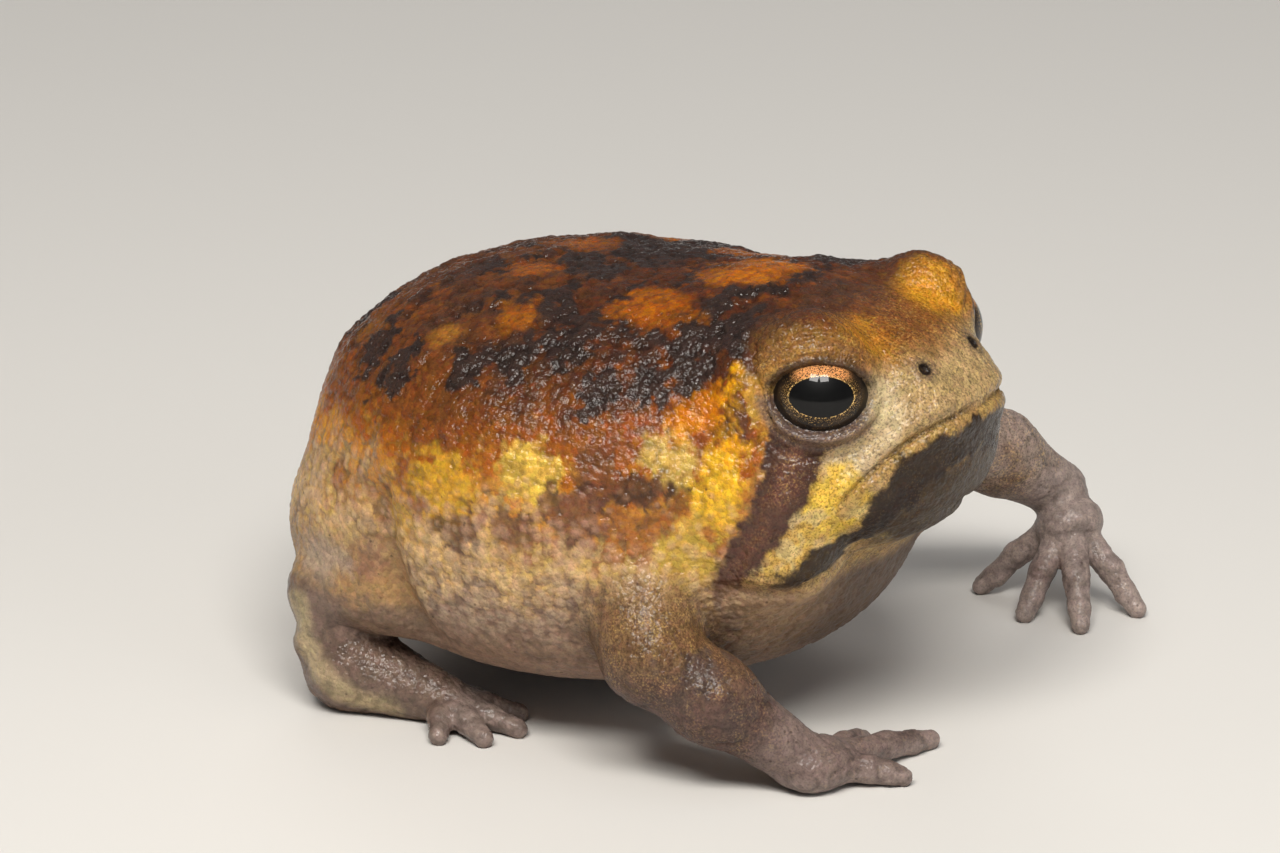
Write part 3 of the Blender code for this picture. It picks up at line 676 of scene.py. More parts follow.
# Each mark has its centre, size, tone and strength: the yellow ones first, then the brown ones over them
FLANK_MARKS = (
    ((-14.2, 12.8, 16.8), (2.2, 1.8, 1.9), (0.62, 0.39, 0.065), 0.95),
    ((-15.0, 18.0, 15.4), (2.4, 2.4, 2.1), (0.52, 0.28, 0.028), 0.9),
    ((-15.2, 21.2, 13.6), (2.2, 1.4, 2.0), (0.50, 0.26, 0.035), 0.7),
    ((-11.3, 6.0, 18.0), (2.2, 1.5, 1.5), (0.48, 0.31, 0.072), 0.95),
    ((-9.9, 3.3, 19.6), (1.8, 1.2, 2.8), (0.72, 0.34, 0.018), 0.9),
    ((-9.0, 1.9, 21.4), (1.2, 0.9, 1.9), (0.56, 0.31, 0.055), 0.85),
    ((-10.6, 3.4, 16.4), (1.8, 1.3, 3.0), (0.68, 0.38, 0.030), 0.95),
    ((-11.6, 4.6, 13.4), (2.0, 2.0, 1.9), (0.54, 0.34, 0.055), 0.85),
    ((-10.4, 5.0, 20.4), (1.8, 1.6, 1.5), (0.54, 0.18, 0.010), 0.8),
    ((-12.6, 7.8, 16.3), (2.2, 2.3, 1.1), (0.085, 0.034, 0.016), 0.95),
    ((-13.1, 9.4, 17.5), (1.8, 1.2, 1.5), (0.15, 0.050, 0.017), 0.9),
    ((-13.9, 10.6, 15.2), (2.2, 1.9, 1.3), (0.13, 0.052, 0.028), 0.85),
    ((-14.6, 14.0, 14.0), (2.2, 1.9, 1.2), (0.15, 0.062, 0.030), 0.8),
    ((-15.4, 17.0, 13.1), (1.8, 1.4, 1.0), (0.090, 0.036, 0.018), 0.8),
    ((-14.6, 22.6, 12.4), (1.5, 0.8, 2.4), (0.12, 0.055, 0.03), 0.6),
)


def surroundings(points, beads, own):
    """What the colours go by: each point's place, with the left side laid on the right one, and noise."""
    q = mirrored(points)
    x, y, z = q.T
    broad, small, fine = (clouds(points, size, seed) - 0.5 for size, seed in ((2.6, 71), (1.2, 75), (0.45, 79)))
    wide = clouds(points, 5.0, 83, 2) - 0.5
    return SimpleNamespace(
        points=points, q=q, x=x, y=y, z=z, over=z - mouth_height(y), beads=beads, own=own,
        broad=broad, small=small, fine=fine, u=z + 4.2 * broad + 2.2 * small + 2.4 * wide + 2.2 * own,
        edge=1.5 * small + 0.9 * broad + 0.9 * fine + 0.35 * own)


def trunk_tone(at):
    """Grey-pink belly, tan, brown band, yellow flank, orange, red-brown, and the dark back with its spots."""
    q, z, u, edge, broad, small, fine = at.q, at.z, at.u, at.edge, at.broad, at.small, at.fine
    red = smooth(small + 0.8 * fine, 0.04, 0.2) * smooth(u, 16.0, 18.5) * (1 - 0.55 * smooth(z, 21.5, 23.5))
    cluster = smooth(dark_clusters(at.points) + 0.35 * broad + 0.25 * fine, 0.45, 0.95)
    colour = layered(
        (0.22, 0.135, 0.088),
        ((0.43, 0.265, 0.115), smooth(u, 8.5, 12.0)),
        ((0.50, 0.31, 0.10), smooth(u, 11.0, 13.0) * smooth(small + broad, -0.15, 0.1)),
        ((0.20, 0.085, 0.035), smooth(u, 12.9, 14.0) * smooth(broad + 0.4 * fine, -0.12, 0.08) * 0.85),
        ((0.44, 0.19, 0.032), smooth(u, 14.4, 15.8)),
        ((0.30, 0.088, 0.010), smooth(u, 16.6, 18.0)),
        ((0.13, 0.040, 0.009), smooth(u, 18.2, 20.2)),
        ((0.066, 0.0185, 0.0055), smooth(u, 20.4, 22.6)),
        ((0.27, 0.070, 0.008), red * 0.6),
        ((0.115, 0.038, 0.010), smooth(z + 2.0 * broad, 16.0, 18.5) * smooth(at.y, 12.0, 19.0) * 0.6),
        ((0.20, 0.065, 0.018),
         smooth(broad + 0.5 * small, 0.10, 0.2) * smooth(u, 13.5, 15.5) * fade(u, 18.5, 21.0) * 0.65),
        *((tone, spot(q, centre, size, edge) * strength) for centre, size, tone, strength in FLANK_MARKS),
        ((0.024, 0.0135, 0.0105), cluster * 0.94))
    ragged = 1.7 * (clouds(at.points, 1.2, 91) - 0.5) + 0.3 * at.own + 0.5 * fine
    for centre, size, tone in ORANGE_SPOTS:
        colour = mix(colour, np.array(tone) * 0.8, spot(q, centre, size, ragged, 0.22) * 0.92)
        colour = mix(colour, np.array(tone) * 1.3, spot(q, centre, np.array(size) * 0.75, edge, 0.4) * 0.8)
    # pale tops of the granules low on the flank; pinkish tops on the band, partly their own colour and partly
    # painted highlight; and painted shade in the gaps between the granules
    low = smooth(z, 6.0, 8.5) * fade(u, 11.5, 14.0)
    band = smooth(u, 11.5, 13.0) * fade(u, 15.0, 16.5)
    colour = mix(colour, (0.60, 0.47, 0.33), smooth(at.beads, 0.45, 0.9) * low * 0.22)
    colour = mix(colour, (0.48, 0.29, 0.19), smooth(at.beads, 0.6, 0.95) * band * 0.4)
    # painted shade: the skin darker low between the granules, more so on the back
    bead_shade = 0.08 + 0.24 * smooth(z, 13.0, 17.0)
    return colour * (1.06 - bead_shade + bead_shade * smooth(at.beads, 0.1, 0.7) + 0.22 * at.own)[:, None]


def crown_tone(at):
    """Olive-gold snout, orange brow, dark crown."""
    q, y, z, edge = at.q, at.y, at.z, at.edge
    dark = (0.115, 0.036, 0.010)
    middle = hill(at.x, 0, 1.5) * smooth(z, 22.6, 23.8) * smooth(y, -4.2, -1.5)
    golden = spot(q, (-4.2, -1.1, 24.2), (1.8, 1.9, 1.7), edge * 0.8, 0.5)
    golden = golden * (0.5 + 0.35 * smooth(at.points[:, 0], -1, 1))
    colour = layered(
        (0.36, 0.225, 0.085),
        ((0.385, 0.260, 0.120), smooth(-y, 1.8, 4.2) * smooth(z, 18.5, 20.5)),
        ((0.20, 0.072, 0.012), smooth(z, 22.2, 24.0) * smooth(y, -7.0, -4.6)),
        (dark, smooth(z + 1.4 * at.broad, 24.1, 25.0) * smooth(y, -2.2, 0.4)),
        (dark, smooth(y + 1.6 * at.broad, 1.6, 3.0) * smooth(z, 21.0, 23.0)),
        ((0.15, 0.055, 0.018), middle * 0.6),
        ((0.60, 0.265, 0.024), golden),
        ((0.24, 0.095, 0.020), spot(q, (0, -4.7, 24.0), (2.9, 1.5, 1.2), edge * 0.6, 0.5) * 0.6),
        ((0.56, 0.31, 0.055), spot(q, (-9.0, 1.4, 21.4), (1.2, 1.0, 2.6), edge * 0.5) * 0.75),
        ((0.60, 0.265, 0.028), spot(q, (-9.5, 2.3, 19.8), (1.4, 1.2, 2.4), edge * 0.5) * 0.8),
        ((0.34, 0.165, 0.030), spot(q, (-7.4, 0.6, 24.0), (2.4, 2.6, 1.3), edge * 0.6, 0.4) * 0.8))
    return colour * (1 + 0.7 * at.small + 0.5 * at.fine)[:, None]


def head_tone(at):
    """Pale in front of and below the eye, yellow on the cheek, dark along the jaw, and a dark throat, partly
    its own brown and partly painted shade under the jaw.
    """
    q, y, z, over, edge, small = at.q, at.y, at.z, at.over, at.edge, at.small
    pale = spot(q, (-5.5, -3.3, 20.6), (1.4, 1.5, 2.0), edge * 0.5, 0.45)
    pale = np.maximum(pale, spot(q, (-6.9, -2.6, 18.3), (1.9, 1.7, 1.9), edge * 0.5, 0.4))
    mottle = smooth(clouds(at.points, 0.9, 107), 0.48, 0.62) * smooth(-z, -17.5, -15.5) * smooth(z, 11.0, 12.5)
    front = fade(y, MOUTH_CORNER_Y + 0.2, MOUTH_CORNER_Y + 1.8)
    # the throat's own dark brown, darkened further as painted shade under the jaw
    throat_and_shade = fade(over + 1.0 * small, -2.9, -1.9) * fade(y + 1.5 * at.broad, -3.6, -0.8)
    away = to_line(q, JAW_LINE) + 1.5 * small + 0.9 * at.fine
    width = np.interp(z, (11.0, 13.0, 16.0, 18.5), (0.55, 0.75, 1.05, 1.15))
    return layered(
        crown_tone(at),
        ((0.51, 0.39, 0.23), pale * 0.9),
        ((0.70, 0.445, 0.065), spot(q, (-7.4, -1.9, 15.9), (2.0, 1.9, 2.1), edge * 0.6) * 0.95),
        ((0.58, 0.36, 0.08), spot(q, (-8.9, -0.3, 13.4), (2.0, 1.7, 1.6), edge) * 0.85),
        ((0.60, 0.47, 0.23), mottle * 0.6),
        ((0.33, 0.20, 0.065), smooth(over, -1.3, -0.9) * fade(over, -0.12, 0.12) * front * 0.8),
        ((0.028, 0.0135, 0.0065), throat_and_shade * 0.95),
        ((0.017, 0.0075, 0.0045), fade(away, width - 0.15, width + 0.25) * 0.97))


def cheek_patch(at):
    """The dark patch from under the eye to behind the jaw: its tone and where it is."""
    away = to_line(at.q, PATCH_LINE) + 1.1 * at.small + 0.9 * at.fine
    width = np.interp(at.z, (11.0, 13.0, 15.0, 17.5, 19.5), (0.75, 1.0, 1.15, 1.5, 1.75))
    inner = hill(away, -0.2, 1.0) * (0.6 + 0.4 * smooth(at.z, 15.0, 17.5))
    tone = mix((0.045, 0.020, 0.014), (0.155, 0.068, 0.042), inner)
    return tone, fade(away, width - 0.2, width + 0.25) * fade(at.z, 20.2, 21.2)


def chest_with_shade(at):
    """Between the arms, darker towards the middle as painted shade under the head: its tone and where it is."""
    # painted shade: darkest along the middle, under the head
    tone = mix((0.10, 0.058, 0.034), (0.36, 0.23, 0.135), smooth(-at.x, 3.0, 8.0))
    tone = mix(tone, (0.10, 0.07, 0.06), spot(at.q, (-9.6, 3.8, 8.7), (1.3, 0.9, 1.3), at.edge) * 0.7)
    return tone, fade(at.y, 2.0, 5.0) * fade(at.z + 1.2 * at.broad, 10.2, 11.8) * smooth(at.z, 3.0, 5.0)


def lids_and_mouth(at, colour):
    """The colour with the lids, the nostrils and the line of the mouth on it, with painted shade where the lids
    meet the eyeball, inside the nostrils and in the mouth's groove.
    """
    for side in (1, -1):
        back, up, out, reach = eye_place(at.points, side)
        off = from_lids(back, up)
        close = smooth(out, 0.3, 1.1) * (reach < 6)
        lower = smooth(-up, -0.5, 0.4) * close
        corner = hill(back, -3.3, 0.7) * hill(up, -0.6, 1.2) * close
        colour = layered(
            colour,
            ((0.165, 0.105, 0.080), fade(off, 0.75, 1.15) * lower * 0.85),
            ((0.075, 0.048, 0.040), fade(off, 0.28, 0.45) * lower * 0.8),
            ((0.055, 0.030, 0.018), fade(off, 0.32, 0.65) * smooth(up, -0.2, 0.6) * close * 0.9),
            ((0.20, 0.098, 0.035), hill(off, 1.1, 0.6) * smooth(up, 0.2, 1.2) * close * 0.6),
            ((0.62, 0.50, 0.27), corner * 0.85),
            # painted shade: near-black where the skin tucks under the eyeball
            ((0.012, 0.008, 0.006), fade(off, -0.12, 0.04) * close * 0.95))
    for start, _ in NOSTRILS:
        reach = length(at.points - start)
        # a darker ring round each nostril, and painted shade inside its pit
        colour = mix(colour, (0.13, 0.085, 0.055), hill(reach, 0.5, 0.3) * 0.7)
        colour = mix(colour, (0.014, 0.009, 0.007), fade(reach, 0.33, 0.50))
    # painted shade: the mouth's groove drawn darker
    groove_shade = hill(at.over, 0, 0.15) * fade(at.y, MOUTH_CORNER_Y - 0.2, MOUTH_CORNER_Y + 1.0) * (at.z > 14)
    return mix(colour, (0.09, 0.055, 0.035), groove_shade * 0.75)


def arm_tone(at, hand):
    pale = (0.36, 0.29, 0.26)
    far = smooth(at.points[:, 0], 12.0, 16.0) * smooth(at.broad, -0.3, 0.0)
    return layered(
        (0.160, 0.086, 0.038),
        ((0.110, 0.065, 0.052), fade(at.z, 5.0, 9.5)),
        ((0.180, 0.128, 0.112), hand),
        ((0.065, 0.042, 0.036), spot(at.points, (-13.6, 2.9, 7.2), (1.6, 1.2, 1.2), at.edge) * 0.8),
        ((0.075, 0.050, 0.043), smooth(at.small + 0.5 * at.broad, 0.15, 0.25) * 0.6),
        (pale, fade(at.z, 0.5, 1.6) * 0.4),
        (pale, far * 0.6))


def leg_tone(at):
    return layered(
        (0.34, 0.20, 0.085),
        ((0.52, 0.34, 0.12), spot(at.q, (-13.6, 26.0, 12.4), (2.4, 2.4, 1.6), at.edge, 0.4)),
        ((0.24, 0.12, 0.075), spot(at.q, (-14.4, 23.3, 10.0), (1.6, 0.9, 1.1), at.edge, 0.5) * 0.7),
        ((0.38, 0.32, 0.27), spot(at.q, (-14.2, 27.2, 9.3), (2.0, 1.9, 1.3), at.edge, 0.6) * 0.5),
        ((0.17, 0.11, 0.08), fade(at.z + at.edge, 6.2, 8.4) * 0.85))


def foot_tone(at):
    rim = fade(to_line(at.q, SPADE_RIM) + 0.8 * at.small + 0.4 * at.fine, 0.35, 1.25)
    return layered(
        (0.160, 0.106, 0.080),
        ((0.150, 0.096, 0.072), spot(at.q, (-13.8, 25.0, 4.6), (2.0, 1.9, 1.7), at.edge * 0.7, 0.4)),
        ((0.46, 0.36, 0.20), rim * 0.75),
        ((0.25, 0.19, 0.165), fade(at.y, 18.5, 20.5) * 0.8))


def paint(points, zone, beads, own):
    """The skin's colour at each point."""
    at = surroundings(points, beads, own)
    belly = fade(at.z, 3.0, 6.5) * (1 - zone["arm"]) * (1 - zone["foot"]) * (1 - zone["head"])
    colour = layered(trunk_tone(at), (head_tone(at), zone["head"]), cheek_patch(at), chest_with_shade(at))
    colour = layered(
        lids_and_mouth(at, colour),
        (arm_tone(at, zone["hand"]), zone["arm"]),
        (leg_tone(at), zone["leg"]),
        (foot_tone(at), zone["foot"]),
        ((0.30, 0.21, 0.165), belly * 0.8))
    # painted shade: the skin of the limbs darker along its creases
    crease_shade = 0.28 * crinkles(points) * np.clip(zone["arm"] + zone["foot"], 0, 1)
    return np.clip(colour * (1 + 0.35 * at.fine - crease_shade)[:, None], 0.004, 1)


# Meshes


def new_object(name, mesh):
    obj = bpy.data.objects.new(name, mesh)
    bpy.context.scene.collection.objects.link(obj)
    return obj


def mesh_of(shape, name):
    bmesh.ops.recalc_face_normals(shape, faces=shape.faces)
    mesh = bpy.data.meshes.new(name)
    shape.to_mesh(mesh)
    shape.free()
    return mesh


def add_sphere(shape, centre, size, tilt=(0, 0, 0), segments=16):
    turned = Matrix(turn(tilt).tolist()).to_4x4()
    place = Matrix.Translation(Vector(centre)) @ turned @ Matrix.Diagonal((*size, 1))
    bmesh.ops.create_uvsphere(shape, u_segments=segments, v_segments=segments // 2, radius=1, matrix=place)


def add_cone(shape, start, end, start_radius, end_radius):
    axis = Vector(end) - Vector(start)
    upright = Vector((0, 0, 1)).rotation_difference(axis).to_matrix().to_4x4()
    bmesh.ops.create_cone(
        shape, cap_ends=True, segments=16, radius1=start_radius, radius2=end_radius, depth=axis.length,
        matrix=Matrix.Translation((Vector(start) + Vector(end)) / 2) @ upright)


def blank():
    """The forms as plain primitives, made one closed surface."""
    whole = bmesh.new()
    for form in FORMS:
        shape = bmesh.new()
        if form["kind"] == "egg":
            add_sphere(shape, form["centre"], form["size"], form["tilt"], 32)
        else:
            add_cone(shape, *form["ends"], *form["radii"])
            for point, radius in zip(form["ends"], form["radii"]):
                add_sphere(shape, point, (radius,) * 3)
        mesh = mesh_of(shape, "form")
        whole.from_mesh(mesh)
        bpy.data.meshes.remove(mesh)
    obj = new_object("frog_skin", mesh_of(whole, "frog_skin"))
    remesh = obj.modifiers.new("one surface", "REMESH")
    remesh.mode = "VOXEL"
    remesh.voxel_size = VOXEL
    apply_all(obj)
    return obj


def apply_all(obj):
    graph = bpy.context.evaluated_depsgraph_get()
    graph.update()
    mesh = bpy.data.meshes.new_from_object(obj.evaluated_get(graph))
    old = obj.data
    obj.modifiers.clear()
    obj.data = mesh
    bpy.data.meshes.remove(old)


def points_of(mesh):
    points = np.empty(len(mesh.vertices) * 3)
    mesh.vertices.foreach_get("co", points)
    return points.reshape(-1, 3)


def set_points(mesh, points):
    mesh.vertices.foreach_set("co", np.ascontiguousarray(points, dtype=np.float32).ravel())
    mesh.update()


def relaxed(mesh, points, share):
    """Each point moved towards the middle of its neighbours."""
    ends = np.empty(len(mesh.edges) * 2, np.int64)
    mesh.edges.foreach_get("vertices", ends)
    a, b = ends.reshape(-1, 2).T
    count = np.bincount(a, minlength=len(points)) + np.bincount(b, minlength=len(points))
    middle = np.empty_like(points)
    for axis in range(3):
        total = np.bincount(a, points[b, axis], len(points))
        total += np.bincount(b, points[a, axis], len(points))
        middle[:, axis] = total / np.maximum(count, 1)
    return points + (middle - points) * share


def refine(mesh, wanted):
    """Splits the faces whose middle is wanted, once."""
    shape = bmesh.new()
    shape.from_mesh(mesh)
    middles = np.array([face.calc_center_median() for face in shape.faces])
    chosen = wanted(middles)
    edges = {edge for face, take in zip(shape.faces, chosen) if take for edge in face.edges}
    bmesh.ops.subdivide_edges(shape, edges=list(edges), cuts=1, use_grid_fill=True)
    shape.to_mesh(mesh)
    shape.free()


def fine_places(middles):
    """Round the eyes, along the mouth and at the nostrils."""
    wanted = np.zeros(len(middles), bool)
    for side in (1, -1):
        _, _, out, reach = eye_place(middles, side)
        wanted |= (reach < 5.4) & (out > 0.3)
    for start, _ in NOSTRILS:
        wanted |= ((middles - start) ** 2).sum(1) < 1.6 ** 2
    _, y, z = middles.T
    wanted |= (np.abs(z - mouth_height(y)) < 0.7) & (y < -0.6) & (z > 14)
    return wanted


def unwrap(obj):
    """A UV map for the bake, made while the mesh is still light."""
    bpy.context.view_layer.objects.active = obj
    obj.select_set(True)
    bpy.ops.object.mode_set(mode="EDIT")
    bpy.ops.mesh.select_all(action="SELECT")
    bpy.ops.uv.smart_project(angle_limit=radians(62), island_margin=0.0015)
    bpy.ops.object.mode_set(mode="OBJECT")
    obj.data.uv_layers[0].name = "OFBake"


def split_all(obj):
    once = obj.modifiers.new("finer", "SUBSURF")
    once.subdivision_type = "SIMPLE"
    once.levels = once.render_levels = 1
    apply_all(obj)


def creases(points):
    """Fine creases in the skin over each eye."""
    height = np.zeros(len(points))
    for side in (1, -1):
        back, up, out, reach = eye_place(points, side)
        off = from_lids(back, up)
        near = hill(off, 1.3, 0.55) * smooth(up, 0.5, 1.6) * smooth(out, 0.0, 1.0) * (reach < 6.5)
        height += near * np.cos((off + 0.3 * clouds(points, 1.5, 103)) * 2 * np.pi / CREASE)
    return 0.075 * height


def plain_skin():
    """The plain form as one surface with its UV map, split finer where the detail comes."""
    obj = blank()
    points = settled(body, points_of(obj.data), 3)
    set_points(obj.data, settled(body, relaxed(obj.data, points, 0.6), 1))
    unwrap(obj)
    refine(obj.data, fine_places)
    split_all(obj)
    return obj


def quiet(points):
    """Less relief close round the opening of the lids."""
    share = np.ones(len(points))
    for side in (1, -1):
        back, up, out, reach = eye_place(points, side)
        share *= 1 - fade(from_lids(back, up), 0.1, 1.6) * smooth(out, 0.3, 1.2) * (reach < 6)
    return share


def tuck_in(points):
    """Keeps the skin that passes under each eyeball well inside it."""
    for side in (1, -1):
        back, up, out, reach = eye_place(points, side)
        behind = (from_lids(back, up) < -0.3) & (out > 0.3) & (reach < 4.5)
        inward = np.minimum(1, WELL_RADIUS / reach[behind])[:, None]
        points[behind] = eye_centre(side) + (points[behind] - eye_centre(side)) * inward


def wetness(points, normal, zone):
    """Glossiest in the dark clusters, dull on the limbs, underneath and in the nostrils."""
    wet = 0.65 + 0.35 * dark_clusters(points) + 0.3 * (clouds(points, 3.0, 95) - 0.5)
    wet -= 0.30 * zone["arm"] + 0.05 * zone["head"] + 0.12 * zone["hand"]
    wet *= smooth(normal[:, 2], -0.75, 0.0)
    for start, _ in NOSTRILS:
        wet *= smooth(length(points - start), 0.35, 0.6)
    return wet


def put_values(mesh, name, values):
    made = mesh.attributes.new(name, "FLOAT", "POINT")
    made.data.foreach_set("value", np.clip(values, 0, 1).astype(np.float32))


def make_skin():
    obj = plain_skin()
    mesh = obj.data
    points = relaxed(mesh, settled(skin, points_of(mesh), 2), 0.35)
    here, rise = slope(skin, points)
    steep = length(rise)
    normal = rise / steep[:, None]
    points = points - normal * np.clip(here / np.maximum(steep, 0.5), -0.5, 0.5)[:, None]
    zone = zones(points)
    height, beads, own = relief(points, zone)
    colour = paint(points, zone, beads, own)
    points = points + normal * (height * quiet(points) + creases(points))[:, None]
    tuck_in(points)
    points[:, 2] = np.maximum(points[:, 2], 0)
    set_points(mesh, points)
    tint = mesh.color_attributes.new("tint", "FLOAT_COLOR", "POINT")
    opaque = np.concatenate([colour, np.ones((len(colour), 1))], 1)
    tint.data.foreach_set("color", opaque.astype(np.float32).ravel())
    grainy = np.clip(zone["head"] + zone["arm"] * (0.95 - 0.75 * zone["hand"]), 0, 1)
    put_values(mesh, "speckle", grainy * (0.15 + 0.85 * smooth(colour.mean(1), 0.02, 0.12)))
    put_values(mesh, "wet", wetness(points, normal, zone))
    mesh.materials.clear()
    mesh.materials.append(skin_material())
    return obj


# Materials


class Shading:
    """A material's nodes. Each method adds one, or a few, and gives its output."""

    def __init__(self, name):
        self.material = bpy.data.materials.new(name)
        self.material.use_nodes = True
        self.tree = self.material.node_tree
        self.tree.nodes.clear()

    def node(self, kind, links=None, **settings):
        """The outputs of a node with these settings. An input is a number, a colour or another's output."""
        made = self.tree.nodes.new(kind)
        for name, value in settings.items():
            setattr(made, name, value)
        for name, value in (links or {}).items():
            socket = made.inputs[name]
            if isinstance(value, bpy.types.NodeSocket):
                self.tree.links.new(value, socket)
            else:
                socket.default_value = value
        return made.outputs

    def attribute(self, name, output):
        return self.node("ShaderNodeAttribute", attribute_name=name)[output]

    def noise(self, place, scale, detail):
        return self.node("ShaderNodeTexNoise", {"Vector": place, "Scale": scale, "Detail": detail})[0]

    def maths(self, operation, a, b=0.5):
        return self.node("ShaderNodeMath", {0: a, 1: b}, operation=operation)[0]

    def times(self, first, *others):
        for other in others:
            first = self.maths("MULTIPLY", first, other)
        return first

    def ramp(self, value, low, high):
        links = {0: value, 1: low, 2: high}
        return self.node("ShaderNodeMapRange", links, interpolation_type="SMOOTHSTEP")[0]

    def scaled(self, value, low, high, to_low, to_high):
        return self.node("ShaderNodeMapRange", {0: value, 1: low, 2: high, 3: to_low, 4: to_high})[0]

    def mixed(self, share, a, b):
        return self.node("ShaderNodeMix", {0: share, 6: a, 7: b}, data_type="RGBA")[2]

    def adjusted(self, colour, hue, saturation, value):
        links = {"Color": colour, "Hue": hue, "Saturation": saturation, "Value": value}
        return self.node("ShaderNodeHueSaturation", links)[0]

    def surface(self, **inputs):
        """The finished material. An input's name has _ for each space."""
        links = {name.replace("_", " "): value for name, value in inputs.items()}
        shader = self.node("ShaderNodeBsdfPrincipled", links)[0]
        self.node("ShaderNodeOutputMaterial", {"Surface": shader})
        return self.material


def skin_material():
    s = Shading("frog_skin")
    tint = s.attribute("tint", "Color")
    speckled = s.attribute("speckle", "Fac")
    wet = s.attribute("wet", "Fac")
    place = s.node("ShaderNodeTexCoord")["Object"]

    def noise(size, detail=2.0):
        return s.noise(place, 1 / (size * MM), detail)

    def cells(size, output="Distance"):
        return s.node("ShaderNodeTexVoronoi", {"Vector": place, "Scale": 1 / (size * MM)})[output]

    # a fine stipple of gold and dark grains, strongest on the head and the forelegs
    stipple = noise(0.12)
    pepper = s.times(s.ramp(stipple, 0.50, 0.36), s.times(s.scaled(speckled, 0, 1, 0.35, 1), 0.66))
    gold = s.times(s.ramp(stipple, 0.54, 0.66), s.ramp(noise(1.4), 0.30, 0.62), s.times(speckled, 0.6))
    colour = s.mixed(pepper, tint, s.adjusted(tint, 0.5, 1.05, 0.30))
    colour = s.mixed(gold, colour, s.mixed(0.5, tint, (0.78, 0.50, 0.14, 1)))
    dots = s.times(s.ramp(cells(0.55), 0.20, 0.10), s.ramp(noise(1.9), 0.52, 0.62))
    colour = s.mixed(s.times(dots, 0.6), colour, (0.035, 0.02, 0.014, 1))
    # cell by cell a little lighter or darker, redder or yellower
    own, other, _ = s.node("ShaderNodeSeparateColor", {"Color": cells(0.30, "Color")})
    value = s.times(s.scaled(noise(0.5, 4.0), 0.25, 0.75, 0.80, 1.22), s.scaled(own, 0, 1, 0.87, 1.13))
    colour = s.adjusted(colour, s.scaled(other, 0, 1, 0.490, 0.508), 1.02, value)
    # a fine bump under a sharp coat, so that the wet skin glints in points
    grain = s.times(s.maths("SUBTRACT", 1.0, cells(0.30)), 0.75)
    bump = s.node("ShaderNodeBump", {
        "Strength": s.scaled(wet, 0.2, 1, 0.5, 1), "Distance": 0.12 * MM,
        "Height": s.maths("ADD", grain, s.times(noise(0.16), 0.7))})[0]
    return s.surface(
        Base_Color=colour, Roughness=s.scaled(noise(0.5), 0.3, 0.7, 0.42, 0.62), Normal=bump,
        Specular_IOR_Level=0.08, Coat_Weight=s.scaled(wet, 0, 1, 0.25, 1),
        Coat_Roughness=s.scaled(wet, 0, 1, 0.17, 0.08), Coat_IOR=1.45,
        Coat_Normal=bump)


def eye_material():
    s = Shading("frog_eye")
    gaze = s.attribute("gaze", "Vector")
    back, up, _ = s.node("ShaderNodeSeparateXYZ", {0: gaze})

    def ellipse(half_width, half_height, shift=0.0):
        u = s.maths("DIVIDE", back, half_width)
        v = s.maths("DIVIDE", s.maths("SUBTRACT", up, shift), half_height)
        return s.maths("SQRT", s.maths("ADD", s.times(u, u), s.times(v, v)))

    pupil = ellipse(1.68, 1.06, -0.02)
    iris = ellipse(2.50, 2.02)
    cloud, grains, fine = s.noise(gaze, 1.6, 2.0), s.noise(gaze, 8.5, 1.0), s.noise(gaze, 16.0, 1.0)
    # dark brown, with gold flecks that crowd round the pupil
    colour = s.mixed(s.ramp(cloud, 0.35, 0.7), (0.006, 0.0035, 0.002, 1), (0.030, 0.016, 0.007, 1))
    flecks = s.times(s.ramp(grains, 0.62, 0.70), s.ramp(iris, 0.96, 0.70), 0.40)
    near_pupil = s.times(s.ramp(fine, 0.57, 0.65), s.ramp(pupil, 1.42, 1.02), 0.60)
    colour = s.mixed(s.maths("MAXIMUM", flecks, near_pupil), colour, (0.62, 0.36, 0.10, 1))
    # the rusty band over the pupil and the broken gold ring round it
    over = s.times(s.ramp(up, 0.66, 1.06), s.ramp(pupil, 1.75, 1.40))
    over = s.times(over, s.ramp(s.maths("ABSOLUTE", back), 1.75, 1.05), s.ramp(fine, 0.38, 0.54), 0.88)
    colour = s.mixed(over, colour, (0.78, 0.33, 0.11, 1))
    ring = s.times(s.ramp(pupil, 0.99, 1.01), s.ramp(pupil, 1.055, 1.03), s.ramp(fine, 0.46, 0.58))
    colour = s.mixed(ring, colour, (0.80, 0.52, 0.18, 1))
    colour = s.mixed(s.ramp(pupil, 1.02, 0.98), colour, (0.0015, 0.0015, 0.0015, 1))
    colour = s.mixed(s.ramp(iris, 0.78, 0.98), colour, (0.005, 0.0035, 0.003, 1))
    return s.surface(
        Base_Color=colour, Roughness=0.5, Specular_IOR_Level=0.1, Coat_Weight=0.9,
        Coat_Roughness=0.015, Coat_IOR=1.33)


def make_eye(side, name, surface):
    shape = bmesh.new()
    segments = 128
    bmesh.ops.create_uvsphere(shape, u_segments=segments, v_segments=segments // 2, radius=EYE_RADIUS)
    mesh = mesh_of(shape, name)
    local = points_of(mesh)
    axes = np.stack(eye_axes(side))
    if np.linalg.det(axes) < 0:
        mesh.flip_normals()
    # the clear front of the eye is domed a little
    bulge = 0.10 * hill(length(local[:, :2]), 0, 1.9) * (local[:, 2] > 0)
    set_points(mesh, local @ axes * (1 + bulge / EYE_RADIUS)[:, None] + eye_centre(side))
    gaze = mesh.attributes.new("gaze", "FLOAT_VECTOR", "POINT")
    gaze.data.foreach_set("vector", local.astype(np.float32).ravel())
    mesh.materials.append(surface)
    return new_object(name, mesh)


